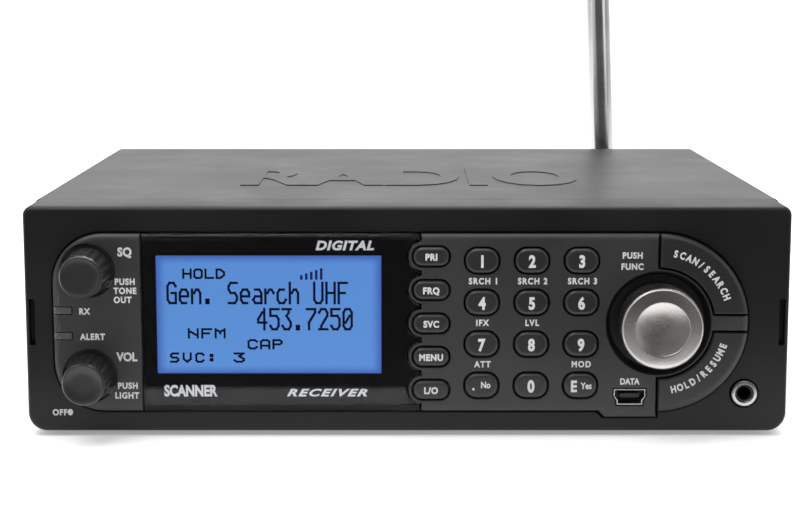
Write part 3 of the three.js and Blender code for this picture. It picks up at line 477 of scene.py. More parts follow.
def control_legends():
    right = control_seam
    squelch, volume = small_knobs["squelch"], small_knobs["volume"]
    small, large = SMALL_LETTERS, 2.1 * MM
    lines = [
        ("SQ", right - 3.6 * MM, squelch.z + 4.6 * MM, large,
         {"narrow": 0.90, "bold": 0.04, "spacing": 1.05}),
        ("PUSH", right - 3.7 * MM, squelch.z - 2.6 * MM, small, small_type),
        ("TONE", right - 3.7 * MM, squelch.z - 4.8 * MM, small, small_type),
        ("OUT", right - 4.3 * MM, squelch.z - 7.0 * MM, small, small_type),
        ("RX", panel_left + 7.7 * MM, light_heights[0] - 0.1 * MM, small, small_type),
        ("ALERT", panel_left + 9.4 * MM, light_heights[1] - 0.1 * MM, small, small_type),
        ("VOL", right - 3.6 * MM, volume.z + 4.7 * MM, large, {"narrow": 0.88, "bold": 0.04}),
        ("PUSH", right - 3.5 * MM, volume.z - 2.4 * MM, small, small_type),
        ("LIGHT", right - 3.7 * MM, volume.z - 4.8 * MM, small, small_type),
    ]
    legends("control_panel_legends", lines, panel_face - INK / 2)
    off = [("OFF", panel_left + 0.8 * MM, panel_bottom - 0.5 * MM, small, small_type),
           ("\u25cf", panel_left + 3.3 * MM, panel_bottom - 0.5 * MM, 1.5 * MM, {})]
    legends("off_legend", off, bezel_face - INK / 2)


control_legends()


# ---------------------------------------------------------------------------------------------
# Status lights: one moulding of smoked clear plastic, pushed in from behind, whose two bars fill
# the notches in the panel's left edge.

def glossy(name, colour, roughness, coat=0.0, specular=0.5):
    """A polished plastic whose roughness drifts a little, like a wiped surface."""
    return finish(name, colour, tuple(c * 1.08 for c in colour), roughness, grain=1500,
                  drift=60, height=0.02, drift_amount=0.02, coat=coat, specular=specular)


smoked_plastic = glossy("smoked_plastic", (0.062, 0.062, 0.064), 0.28)


def build_status_lights():
    """Two bars whose outer ends follow the panel's soft edge, and the hidden web that joins them."""
    back = panel_face + PANEL_SKIN - 0.25 * MM

    def share(p, q):
        return 1 if max(p[0], q[0]) < panel_left + 0.01 * MM else SEAM_SHARE
    for name, z in zip(("receive_light", "alert_light"), light_heights):
        bottom, top = z - LIGHT_HEIGHT / 2, z + LIGHT_HEIGHT / 2
        outline = [(panel_left, bottom), (light_reach, bottom), (light_reach, top), (panel_left, top)]
        raised_plate(name, outline, [], smoked_plastic, [], share, rear=back)
    bm = bmesh.new()
    bm.from_mesh(frame["nodes"]["status_light_pipe"].data)
    bmesh.ops.remove_doubles(bm, verts=bm.verts, dist=1e-7)
    bmesh.ops.bisect_plane(bm, geom=bm.verts[:] + bm.edges[:] + bm.faces[:], plane_co=(0, back, 0),
                           plane_no=(0, -1, 0), clear_outer=True)
    bmesh.ops.holes_fill(bm, edges=[e for e in bm.edges if e.is_boundary])
    finish_mesh("status_light_web", bm, smoked_plastic, "root", ["status_light_pipe"])


# ---------------------------------------------------------------------------------------------
# Display: a liquid-crystal module with a blue backlight behind a clear acrylic lens. The lens is
# printed black on its back, but for the window, and clips between the two dark panels.

LENS_SKIN = 2.0 * MM
WINDOW_LEFT = 3.1 * MM
WINDOW_RIGHT = 9.2 * MM
WINDOW_TOP = 5.4 * MM
WINDOW_BOTTOM = 8.9 * MM
LOBE_GROW = 1.2 * MM
LOBE_RADIUS = 2.2 * MM + LOBE_GROW

function_names = ["priority", "frequency", "service", "menu", "lockout"]
lens_left = lens_low.x
lens_right = lens_high.x


def lobe_arc(name, grow):
    """The left-hand half round of the panel's bulge round a function key, from top to bottom."""
    at = middle_of(f"key_{name}")
    radius = LOBE_RADIUS + grow
    half_width = 4.3 * MM + LOBE_GROW + grow
    centre = at.x - half_width + radius
    flat = 2.3 * MM + LOBE_GROW + grow - radius
    upper = arc(centre, at.z + flat, radius, 90, 180, 14)
    lower = arc(centre, at.z - flat, radius, 180, 270, 14)
    return upper + lower


def scalloped_edge(x, grow):
    """The seam between lens and keypad from its top to its bottom, round every function key."""
    points = []
    for name in function_names:
        bulge = [p for p in lobe_arc(name, grow) if p[0] < x - 0.05 * MM]
        points += [(x, bulge[0][1])] + bulge + [(x, bulge[-1][1])]
    return points


def clear_acrylic():
    material, nodes, links, shader = blank_material("lens_acrylic")
    shader.inputs["Base Color"].default_value = (0.97, 0.98, 1.0, 1)
    shader.inputs["Transmission Weight"].default_value = 1
    shader.inputs["IOR"].default_value = 1.27
    texture = nodes.new("ShaderNodeGroup")
    texture.node_tree = surface_grain
    texture.inputs["Drift Scale"].default_value = 30
    texture.inputs["Roughness"].default_value = 0.03
    texture.inputs["Roughness Drift"].default_value = 0.012
    links.new(texture.outputs["Roughness"], shader.inputs["Roughness"])
    return material


def backlight():
    """Even blue light that falls off softly at the window's edges."""
    material, nodes, links, shader = blank_material("display_backlight")
    shader.inputs["Base Color"].default_value = (0.02, 0.05, 0.12, 1)
    shader.inputs["Roughness"].default_value = 0.5
    shader.inputs["Emission Strength"].default_value = 1
    place = nodes.new("ShaderNodeTexCoord")
    centre = nodes.new("ShaderNodeMapping")
    centre.vector_type = "TEXTURE"
    centre.inputs["Location"].default_value = ((window_left + window_right) / 2, 0,
                                               (window_low + window_high) / 2)
    centre.inputs["Scale"].default_value = ((window_right - window_left) / 2, 1,
                                            (window_high - window_low) / 2)
    parts = nodes.new("ShaderNodeSeparateXYZ")
    links.new(place.outputs["Object"], centre.inputs["Vector"])
    links.new(centre.outputs["Vector"], parts.inputs["Vector"])
    shades = []
    for axis in ("X", "Z"):
        size = nodes.new("ShaderNodeMath")
        size.operation = "ABSOLUTE"
        fall = nodes.new("ShaderNodeMapRange")
        fall.interpolation_type = "SMOOTHSTEP"
        fall.inputs["From Min"].default_value = 1.0
        fall.inputs["From Max"].default_value = 0.90 if axis == "X" else 0.84
        links.new(parts.outputs[axis], size.inputs[0])
        links.new(size.outputs[0], fall.inputs["Value"])
        shades.append(fall.outputs["Result"])
    both = nodes.new("ShaderNodeMath")
    both.operation = "MULTIPLY"
    links.new(shades[0], both.inputs[0])
    links.new(shades[1], both.inputs[1])
    colour = nodes.new("ShaderNodeValToRGB")
    colour.color_ramp.elements[0].color = (0.045, 0.115, 0.42, 1)
    colour.color_ramp.elements[1].color = (0.088, 0.245, 0.60, 1)
    links.new(both.outputs[0], colour.inputs["Fac"])
    links.new(colour.outputs["Color"], shader.inputs["Emission Color"])
    return material


window_left = lens_left + WINDOW_LEFT
window_right = lens_right - WINDOW_RIGHT
window_low = panel_bottom + WINDOW_BOTTOM
window_high = panel_top - WINDOW_TOP
lens_acrylic = clear_acrylic()
display_backlight = backlight()
lens_print = glossy("lens_print", (0.004, 0.004, 0.0045), 0.5, specular=0.05)
display_ink = glossy("display_ink", (0.010, 0.016, 0.16), 0.6, specular=0.1)
lens_back = panel_face + LENS_SKIN


def build_lens():
    edge = scalloped_edge(lens_right, PANEL_GAP)
    outline = ([(lens_right, panel_top), (lens_left, panel_top), (lens_left, panel_bottom),
                (lens_right, panel_bottom)] + edge[::-1])
    share = seam_share(lens_left, lens_right)

    def lens_share(p, q):
        level = abs(p[1] - q[1]) < 1e-6 and (abs(p[1] - panel_top) < 1e-6 or abs(p[1] - panel_bottom) < 1e-6)
        return share(p, q) if level else SEAM_SHARE
    raised_plate("display_lens_clear", outline, [], lens_acrylic, ["display_lens"], lens_share,
                 rear=lens_back)
    bm = bmesh.new()
    inner = inset(tidy_loop(outline), 0.05 * MM)
    window = tidy_loop(round_rect(window_left, window_right, window_low, window_high, 0.4 * MM, count=4))
    front, back = lens_back + 0.02 * MM, lens_back + 0.12 * MM
    rim, rim_back = sweep(bm, inner, [(0, front), (0, back)])
    hole, hole_back = sweep(bm, window, [(0, front), (0, back)], -1)
    cap(bm, rim, hole)
    cap(bm, rim_back, hole_back)
    finish_mesh("display_lens_print", bm, lens_print, "root")


build_status_lights()
build_lens()

# Each letter is five columns of seven dots, as the display's driver draws it; the lowest bit is
# the top row.
DOT_LETTERS = {
    "A": "7e1111117e", "C": "3e41414122", "D": "7f4141221c", "E": "7f49494941", "F": "7f09090901",
    "G": "3e4149497a", "H": "7f0808087f", "L": "7f40404040", "M": "7f020c027f", "N": "7f0408107f",
    "O": "3e4141413e", "P": "7f09090906", "S": "4649494931", "U": "3f4040403f", "V": "1f2040201f",
    "a": "2054545478", "b": "7f48444438", "e": "3854545418", "l": "00417f4000", "n": "7c08040478",
    "r": "7c08040408", "t": "043f444020", "u": "3c4040207c", "y": "0c5050503c", "i": "00447d4000",
    "c": "3844444420", "h": "7f08040478",
    "0": "3e5149453e", "2": "4261514946", "3": "2141454b31", "4": "1814127f10", "5": "2745454539",
    "7": "0171090503", ".": "0060600000", ":": "0036360000", "d": "384444487f", "o": "3844444438",
    " ": "0000000000",
}


def dots_on(letter):
    columns = bytes.fromhex(DOT_LETTERS[letter])
    return {(c, r) for c, bits in enumerate(columns) for r in range(7) if bits >> r & 1}


def dot_text(bm, text, x, z, pitch, rise, stroke, y, advance=6):
    """Draws one line of display letters as strokes that join neighbouring dots. x and z are the
    top left dot, pitch and rise the spacing of the dots, and advance a letter's width in dots."""
    for place, letter in enumerate(text):
        on = dots_on(letter)
        for column, row in on:
            at = (x + (place * advance + column) * pitch, z - row * rise)
            quad(bm, at, at, stroke, y)
            for step in ((1, 0), (0, 1), (1, 1), (-1, 1)):
                other = (column + step[0], row + step[1])
                corner = abs(step[0]) and step[1]
                beside = {(column + step[0], row), (column, row + step[1])} & on
                if other in on and not (corner and beside):
                    quad(bm, at, (at[0] + step[0] * pitch, at[1] - step[1] * rise), stroke, y)


def quad(bm, start, end, width, y):
    """A flat bar from one dot to another, as wide as a dot."""
    along = Vector((end[0] - start[0], end[1] - start[1]))
    along = along.normalized() * width / 2 if along.length > 1e-9 else Vector((width / 2, 0))
    across = Vector((-along.y, along.x))
    a, b = Vector(start) - along, Vector(end) + along
    corners = (a - across, b - across, b + across, a + across)
    bm.faces.new([bm.verts.new((c.x, y, c.y)) for c in corners])


def build_display():
    bm = bmesh.new()
    outline = tidy_loop(round_rect(window_left + 0.1 * MM, window_right - 0.1 * MM, window_low + 0.1 * MM,
                                   window_high - 0.1 * MM, 0.3 * MM, count=3))
    face = lens_back + 0.6 * MM
    closed_sweep(bm, outline, [(0, face), (0, face + 0.45 * MM)])
    finish_mesh("display_screen", bm, display_backlight, "root")

    def at(across, down):
        """A place in the window, as shares of its width and height from the top left."""
        return (window_left + across * (window_right - window_left),
                window_high - down * (window_high - window_low))
    bm = bmesh.new()
    y = face - 0.04 * MM
    big = {"pitch": 0.49 * MM, "rise": 0.82 * MM, "stroke": 0.58 * MM, "y": y}
    wide = {"rise": 0.34 * MM, "stroke": 0.50 * MM, "y": y}
    dot_text(bm, "HOLD", *at(0.123, 0.120), pitch=0.445 * MM, **wide)
    dot_text(bm, "Gen. Search UHF", *at(0.052, 0.232), **big)
    dot_text(bm, "453.7250", *at(0.452, 0.453), **big)
    dot_text(bm, "NFM", *at(0.143, 0.622), pitch=0.54 * MM, **wide)
    dot_text(bm, "CAP", *at(0.408, 0.715), pitch=0.50 * MM, **wide)
    dot_text(bm, "SVC:", *at(0.062, 0.828), pitch=0.43 * MM, advance=7.1, **wide)
    dot_text(bm, "3", *at(0.345, 0.828), pitch=0.56 * MM, **wide)
    for bar in range(5):
        x, z = at(0.645 + bar * 0.022, 0.195)
        quad(bm, (x, z), (x, z + (0.5 + 0.42 * bar) * MM), 0.6 * MM, y)
    finish_mesh("display_characters", bm, display_ink, "root")


build_display()


lens_ink = finish("lens_ink", (0.96, 0.96, 0.96), (0.99, 0.99, 0.99), 0.6, grain=9000, height=0.0)


def lens_words():
    """White words printed on the lens's back, just in front of the black."""
    lines = [
        ("DIGITAL", lens_right - 18.0 * MM, window_high + 2.5 * MM, 2.2 * MM,
         {"narrow": 1.12, "bold": 0.045, "slant": 0.25, "spacing": 1.12}),
        ("SCANNER", window_left + 8.1 * MM, window_low - 4.0 * MM, 2.7 * MM, {"narrow": 0.76, "bold": 0.045}),
        ("RECEIVER", lens_right - 22.4 * MM, window_low - 4.5 * MM, 1.8 * MM,
         {"narrow": 1.55, "bold": 0.04, "slant": 0.35, "spacing": 1.22}),
    ]
    legends("lens_words", lines, lens_back - 0.02 * MM, material=lens_ink)


lens_words()


# ---------------------------------------------------------------------------------------------
# Keypad panel: the right-hand length of the raised panel, in the same dark grey. It has a hole
# for every key, the dial well, made black by a cup of painted shade, with its thin rim, and the bridge between the
# arc keys.

WELL_RADIUS = 12.7 * MM
WELL_DEPTH = 3.0 * MM
WELL_TAPER = 1.1 * MM
WELL_RIM = 0.5 * MM
BRIDGE_HALF = 1.95 * MM
rim_radius = WELL_RADIUS + WELL_RIM

number_names = ["1", "2", "3", "4", "5", "6", "7", "8", "9", "point", "0", "enter"]
KEY_SIZES = {"number": (8.0 * MM, 6.0 * MM, 2.8 * MM), "function": (8.6 * MM, 4.6 * MM, 2.2 * MM)}
key_kinds = {**{n: "function" for n in function_names}, **{n: "number" for n in number_names}}


def key_loop(name, grow):
    width, height, radius = KEY_SIZES[key_kinds[name]]
    at = middle_of(f"key_{name}")
    return tidy_loop(round_rect(at.x - width / 2 - grow, at.x + width / 2 + grow,
                                at.z - height / 2 - grow, at.z + height / 2 + grow, radius + grow))


port_low, port_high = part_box("data_port")
port = middle_of("data_port")


def port_loop(grow):
    """The data port's outline: straight top, waisted sides, narrow foot."""
    half, tall = (port_high.x - port_low.x) / 2 + grow, (port_high.z - port_low.z) / 2 + grow
    foot = half - 0.75 * MM
    right = [(foot, -tall), (foot, -tall / 2), (half, 0.1 * MM), (half, tall)]
    return tidy_loop([(port.x + x, port.z + z) for x, z in right]
                     + [(port.x - x, port.z + z) for x, z in right[::-1]])


def circle_angle(radius, height):
    return math.degrees(math.asin(height / radius))


def build_keypad_panel():
    bridge = circle_angle(rim_radius, BRIDGE_HALF)
    bridge_end = circle_angle(panel_half, BRIDGE_HALF)
    tab_left = dial.x - TAB_WIDTH
    seam = lens_right + PANEL_GAP
    edge = dial.x - PANEL_GAP / 2
    outline = (
        [(seam, panel_bottom), (tab_left - TAB_SLANT, panel_bottom), (tab_left, panel_bottom - TAB_DROP),
         (edge, panel_bottom - TAB_DROP), (edge, dial.z - rim_radius)]
        + arc(dial.x, dial.z, rim_radius, -90, -bridge, 32)[1:]
        + arc(dial.x, dial.z, panel_half, -bridge_end, bridge_end, 8)
        + arc(dial.x, dial.z, rim_radius, bridge, 90, 32)[:-1]
        + [(edge, dial.z + rim_radius), (edge, panel_top), (seam, panel_top)]
        + scalloped_edge(seam, 0)
    )

    def share(p, q):
        level = abs(p[1] - q[1]) < 1e-6
        soft = level and (abs(p[1] - panel_top) < 1e-6 or p[1] <= panel_bottom + 1e-6)
        slanted = p[1] <= panel_bottom + 1e-6 and q[1] <= panel_bottom + 1e-6
        at_end = math.dist(p, (dial.x, dial.z)) > panel_half - 1e-5 and p[0] > dial.x + rim_radius
        reach = max(math.dist(p, (dial.x, dial.z)), math.dist(q, (dial.x, dial.z)))
        if reach < rim_radius + 0.01 * MM:
            return 0.1
        return 1 if soft or slanted or (at_end and q[0] > dial.x + rim_radius + 4 * MM) else 0.25
    holes = [key_loop(name, 0.35 * MM) for name in key_kinds] + [port_loop(0.25 * MM)]
    well = (dial.x, dial.z, WELL_RADIUS, WELL_DEPTH, WELL_TAPER, 3.6 * MM)
    raised_plate("keypad_panel_face", outline, holes, panel_plastic, ["keypad_panel"], share,
                 wells=[well])


def build_well_painted_shade():
    """A matt black cup lines the dial well, so the bright knob stands out against it. Its black is painted shade
    for the deep well.
    """
    front, floor = panel_face + 0.45 * MM, panel_face + WELL_DEPTH - 0.04 * MM
    edge = WELL_RADIUS - 0.03 * MM
    foot = edge - WELL_TAPER
    skin = 0.15 * MM
    bm = bmesh.new()
    profile = [(4 * MM, floor), (foot, floor), (edge, front), (edge - skin, front),
               (foot - skin, floor - skin), (4 * MM, floor - skin)]
    turned(bm, profile, Matrix.Translation((dial.x, 0, dial.z)), 128)
    # Painted shade: this cup makes the well darker than the panel's grey.
    finish_mesh("dial_well_lining", bm, bezel_plastic, "root")


build_keypad_panel()


def keypad_legends():
    under_type = {"narrow": 0.88, "bold": 0.04, "spacing": 1.25}
    under = {"1": "SRCH 1", "2": "SRCH 2", "3": "SRCH 3", "4": "IFX", "5": "LVL", "7": "ATT", "9": "MOD"}
    lines = []
    for name, text in under.items():
        at = middle_of(f"key_{name}")
        lines.append((text, at.x + 0.2 * MM, at.z - 4.9 * MM, SMALL_LETTERS, under_type))
    lines += [
        ("PUSH", dial.x - 6.5 * MM, panel_top - 5.1 * MM, SMALL_LETTERS, small_type),
        ("FUNC", dial.x - 6.5 * MM, panel_top - 7.8 * MM, SMALL_LETTERS, small_type),
        ("DATA", port.x, port.z + 3.9 * MM, SMALL_LETTERS, {"narrow": 0.84, "bold": 0.04}),
    ]
    legends("keypad_legends", lines, panel_face - INK / 2)


keypad_legends()


# ---------------------------------------------------------------------------------------------
# Push keys: seventeen caps of dark grey plastic on one rubber mat. Each has a soft rounded edge
# and a printed number or word.

KEY_EDGE = 0.95 * MM
KEY_POST = 2.0 * MM
KEY_BACK = panel_face + 3.3 * MM  # behind the panel's face, where the post starts
key_plastic = finish("key_plastic", (0.015, 0.015, 0.016), (0.018, 0.018, 0.019), 0.36, grain=5200,
                     height=0.25)
KEY_WORDS = {"priority": "PRI", "frequency": "FRQ", "service": "SVC", "menu": "MENU", "lockout": "L/O"}


def key_cap(node, outline, profile, post, share=None):
    """A cap with the given edge, and the round post behind it that presses the mat."""
    bm = bmesh.new()
    front, back = sweep(bm, outline, profile + [(0, KEY_BACK)], 1, share)
    cap(bm, front)
    post_front, post_back = sweep(bm, tidy_loop(arc(*post, KEY_POST, 0, 360, 24)),
                                  [(0, KEY_BACK), (0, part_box(node)[1].y)])
    cap(bm, back, post_front)
    cap(bm, post_back)
    finish_mesh(f"{node}_cap", bm, key_plastic, node, [node])


def build_key(name):
    node = f"key_{name}"
    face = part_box(node)[0].y
    at = middle_of(node)
    key_cap(node, key_loop(name, 0), rounded(KEY_EDGE, face, 7), (at.x, at.z))
    if name == "point":
        lines = [(".", at.x - 1.95 * MM, at.z - 0.1 * MM, 1.6 * MM, {"bold": 0.09}),
                 ("No", at.x + 1.0 * MM, at.z + 0.3 * MM, 1.6 * MM, {"narrow": 0.80, "bold": 0.035})]
    elif name == "enter":
        lines = [("E", at.x - 1.55 * MM, at.z, 2.75 * MM, {"narrow": 0.82, "bold": 0.04}),
                 ("Yes", at.x + 1.35 * MM, at.z + 0.1 * MM, 1.6 * MM, {"narrow": 0.80, "bold": 0.03})]
    elif name in KEY_WORDS:
        lines = [(KEY_WORDS[name], at.x, at.z, 1.6 * MM, {"narrow": 0.90, "bold": 0.045, "spacing": 1.12})]
    else:
        lines = [(name, at.x, at.z, 2.9 * MM, {"narrow": 0.80, "bold": 0.045})]
    legends(f"{node}_legend", lines, face - INK / 2, node)


for key_name in key_kinds:
    build_key(key_name)


# ---------------------------------------------------------------------------------------------
# Arc keys: two quarter-ring keys that share the ring round the dial, with the bridge between
# them. Their outer edges carry on the panel's soft edge.

ARC_INNER = 13.5 * MM


def arc_words(text, radius, start, end, height, inward):
    """Places letters one by one on an arc, tops outward, or inward where the arc is a lower one."""
    lines = []
    for i, letter in enumerate(text):
        angle = math.radians(start + (end - start) * i / (len(text) - 1))
        turn = (-math.pi / 2 if inward else math.pi / 2) - angle
        lines.append((letter, dial.x + radius * math.cos(angle), dial.z + radius * math.sin(angle), height,
                      {"narrow": 0.8, "bold": 0.045, "turn": turn}))
    return lines


def build_arc_key(name, side, words, radius, start, end):
    node = f"key_{name}"
    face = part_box(node)[0].y
    clear = BRIDGE_HALF + PANEL_GAP
    first_inner, first_outer = circle_angle(ARC_INNER, clear), circle_angle(panel_half, clear)
    last_inner = 90 - circle_angle(ARC_INNER, PANEL_GAP / 2)
    last_outer = 90 - circle_angle(panel_half, PANEL_GAP / 2)
    outline = tidy_loop(arc(dial.x, dial.z, panel_half, side * first_outer, side * last_outer, 40)
                        + arc(dial.x, dial.z, ARC_INNER, side * last_inner, side * first_inner, 32))

    def share(p, q):
        outer = min(math.dist(p, (dial.x, dial.z)), math.dist(q, (dial.x, dial.z))) > panel_half - 1e-5
        return 1 if outer else 0.3
    middle = (ARC_INNER + panel_half) / 2 / math.sqrt(2)
    post = (dial.x + middle, dial.z + side * middle)
    key_cap(node, outline, rounded(PANEL_EDGE, face, 7, PANEL_SPREAD), post, share)
    lines = arc_words(words, radius, start, end, 1.7 * MM, side < 0)
    legends(f"{node}_legend", lines, face - INK / 2, node)


build_arc_key("scan", 1, "SCAN/SEARCH", 17.4 * MM, 77.5, 22)
build_arc_key("hold", -1, "HOLD/RESUME", 16.4 * MM, -76.5, -19)


# ---------------------------------------------------------------------------------------------
# Tuning dial: a knob turned from aluminium bar, with a knurled rim, a bright spun face and a
# polished dish for a fingertip. It clicks round and also pushes in.

def turned(bm, profile, place=Matrix(), sides=96, flutes=0, flute_depth=0.0):
    """Spins (radius, distance, flute share) about the Y axis, then moves the result by a matrix."""
    previous = first = None
    for radius, y, *share in profile:
        if radius < 1e-7:
            loop = [bm.verts.new(place @ Vector((0, y, 0)))]
        else:
            loop = []
            cut = flute_depth * (share[0] if share else 0)
            for i in range(sides):
                turn = 2 * math.pi * i / sides
                r = radius - cut * (0.5 + 0.5 * math.cos(flutes * turn)) ** 2
                loop.append(bm.verts.new(place @ Vector((r * math.cos(turn), y, r * math.sin(turn)))))
        if previous:
            join_loops(bm, previous, loop)
        first = first or loop
        previous = loop
    if len(first) > 1:
        join_loops(bm, previous, first)


def join_loops(bm, first, second):
    if len(first) == len(second) == 1:
        return
    if len(first) == len(second):
        strip(bm, first, second)
        return
    point, loop = (first[0], second) if len(first) == 1 else (second[0], first)
    for a, b in zip(loop, loop[1:] + loop[:1]):
        bm.faces.new((point, a, b))


def spun_metal(name, colour, roughness, anisotropy):
    """Turned metal: a soft fan of light that follows the tool marks round the Y axis."""
    material = finish(name, colour, tuple(c * 1.06 for c in colour), roughness, metallic=1.0,
                      grain=900, drift=80, height=0.02, drift_amount=0.05)
    nodes, links = material.node_tree.nodes, material.node_tree.links
    shader = nodes["Principled BSDF"]
    shader.inputs["Anisotropic"].default_value = anisotropy
    marks = nodes.new("ShaderNodeTangent")
    marks.direction_type = "RADIAL"
    marks.axis = "Y"
    links.new(marks.outputs["Tangent"], shader.inputs["Tangent"])
    return material


def copies_group():
    """Puts a copy of one piece on every point, turned by the point's own facing."""
    group = bpy.data.node_groups.new("placed_copies", "GeometryNodeTree")
    face = group.interface
    face.new_socket("Points", in_out="INPUT", socket_type="NodeSocketGeometry")
    face.new_socket("Piece", in_out="INPUT", socket_type="NodeSocketObject")
    face.new_socket("Finish", in_out="INPUT", socket_type="NodeSocketMaterial")
    face.new_socket("Copies", in_out="OUTPUT", socket_type="NodeSocketGeometry")
    nodes, links = group.nodes, group.links
    given, out = nodes.new("NodeGroupInput"), nodes.new("NodeGroupOutput")
    piece = nodes.new("GeometryNodeObjectInfo")
    facing = nodes.new("GeometryNodeInputNamedAttribute")
    facing.data_type = "FLOAT_VECTOR"
    facing.inputs["Name"].default_value = "facing"
    place = nodes.new("GeometryNodeInstanceOnPoints")
    realize = nodes.new("GeometryNodeRealizeInstances")
    paint = nodes.new("GeometryNodeSetMaterial")
    links.new(given.outputs["Piece"], piece.inputs["Object"])
    links.new(given.outputs["Points"], place.inputs["Points"])
    links.new(piece.outputs["Geometry"], place.inputs["Instance"])
    links.new(facing.outputs["Attribute"], place.inputs["Rotation"])
    links.new(place.outputs["Instances"], realize.inputs["Geometry"])
    links.new(realize.outputs["Geometry"], paint.inputs["Geometry"])
    links.new(given.outputs["Finish"], paint.inputs["Material"])
    links.new(paint.outputs["Geometry"], out.inputs["Copies"])
    return group


placed_copies = copies_group()


def copies(name, piece_bm, places, material, body, smooth=35):
    """One mesh of copies of a piece, at places given as (position, facing)."""
    piece_mesh = bpy.data.meshes.new(f"{name}_piece")
    bmesh.ops.recalc_face_normals(piece_bm, faces=piece_bm.faces)
    piece_bm.to_mesh(piece_mesh)
    piece_bm.free()
    piece = bpy.data.objects.new(f"{name}_piece", piece_mesh)
    points = bpy.data.meshes.new(f"{name}_points")
    points.from_pydata([at for at, _ in places], [], [])
    facing = points.attributes.new("facing", "FLOAT_VECTOR", "POINT")
    facing.data.foreach_set("vector", [value for _, turn in places for value in turn])
    holder = bpy.data.objects.new(f"{name}_points", points)
    for thing in (piece, holder):
        bpy.context.scene.collection.objects.link(thing)
    modifier = holder.modifiers.new("copies", "NODES")
    modifier.node_group = placed_copies
    settings = {"Piece": piece, "Finish": material}
    for socket in placed_copies.interface.items_tree:
        if socket.name in settings:
            modifier[socket.identifier] = settings[socket.name]
    bpy.context.view_layer.update()
    graph = bpy.context.evaluated_depsgraph_get()
    mesh = bpy.data.meshes.new_from_object(holder.evaluated_get(graph), depsgraph=graph)
    bpy.data.objects.remove(holder)
    bpy.data.objects.remove(piece)
    bm = bmesh.new()
    bm.from_mesh(mesh)
    bpy.data.meshes.remove(mesh)
    return finish_mesh(name, bm, material, body, smooth=smooth)


def knurl(name, at, count, half, base, crest, stations, material, body):
    """Straight ridges round a Y axis. Each rises from base to crest; stations are (y, share)."""
    ridge = bmesh.new()
    ends = []
    for y, share in stations:
        tip = base + (crest - base) * share
        ends.append([ridge.verts.new(point) for point in ((base, y, -half), (tip, y, 0), (base, y, half))])
    for first, second in zip(ends, ends[1:]):
        strip(ridge, first, second)
    ridge.faces.new(ends[0])
    ridge.faces.new(ends[-1])
    places = [((at[0], 0, at[1]), (0, 2 * math.pi * i / count, 0)) for i in range(count)]
    copies(name, ridge, places, material, body, smooth=20)


KNOB_DISH = 6.4 * MM
KNOB_DISH_DEPTH = 1.1 * MM
KNURL_COUNT = 96
KNURL_HEIGHT = 0.2 * MM
spun_face = spun_metal("spun_aluminium", (0.54, 0.515, 0.495), 0.28, 0.8)
polished_dish = finish("polished_aluminium", (0.60, 0.570, 0.55), (0.66, 0.63, 0.61), 0.27, metallic=1.0,
                       grain=700, drift=160, height=0.04)
knurl_metal = finish("knurled_aluminium", (0.62, 0.60, 0.58), (0.68, 0.66, 0.64), 0.28, metallic=1.0,
                     grain=900, drift=80, height=0.02)


build_well_painted_shade()


def build_tuning_knob():
    front, rear = dial_low.y, dial_high.y
    radius = (dial_high.x - dial_low.x) / 2
    place = Matrix.Translation((dial.x, 0, dial.z))
    bm = bmesh.new()
    dish = []
    for i in range(13):
        share = i / 12
        dish.append((KNOB_DISH * share, front + 0.12 * MM + KNOB_DISH_DEPTH * (1 - share ** 2)))
    side = radius - KNURL_HEIGHT
    under = front + KNOB_DISH_DEPTH + 0.5 * MM
    turned(bm, dish + [(KNOB_DISH, under), (0, under)], place, 144)
    finish_mesh("tuning_knob_dish", bm, polished_dish, "tuning_dial", smooth=25)
    bm = bmesh.new()
    bore = KNOB_DISH
    profile = [
        (bore, under + 0.2 * MM), (bore, front + 0.10 * MM), (bore + 0.06 * MM, front + 0.04 * MM),
        (bore + 0.2 * MM, front), (bore + 0.4 * MM, front), (side - 1.0 * MM, front + 0.28 * MM),
        (side - 0.40 * MM, front + 0.32 * MM), (side - 0.30 * MM, front + 0.36 * MM),
        (side, front + 0.66 * MM), (side, rear - 0.3 * MM),
        (side - 0.3 * MM, rear), (side - 0.5 * MM, rear), (0, rear), (0, under + 0.2 * MM)]
    turned(bm, profile, place, 144)
    finish_mesh("tuning_knob_body", bm, spun_face, "tuning_dial", ["tuning_knob"], smooth=25)
    base, start, end = side - 0.05 * MM, front + 0.50 * MM, rear - 0.6 * MM
    low = 0.05 * MM / (radius - base)  # the ridge's ends stand this share above its base
    stations = [(start, low), (start + 0.2 * MM, 1), (end - 0.2 * MM, 1), (end, low)]
    half = math.pi * side / KNURL_COUNT * 0.92
    knurl("tuning_knob_knurl", (dial.x, dial.z), KNURL_COUNT, half, base, radius, stations, knurl_metal,
          "tuning_dial")


build_tuning_knob()


# ---------------------------------------------------------------------------------------------
# Squelch and volume knobs: small black plastic knobs with soft flutes, a chamfered front ring
# and a fin that points at the setting. Both also push in.

KNOB_FLUTES = 16
KNOB_FLUTE_DEPTH = 0.45 * MM
POINTER_ANGLE = -25
POINTER_WIDTH = 1.5 * MM
knob_plastic = finish("knob_plastic", (0.016, 0.016, 0.0165), (0.020, 0.020, 0.0205), 0.30, grain=5200,
                      height=0.15)


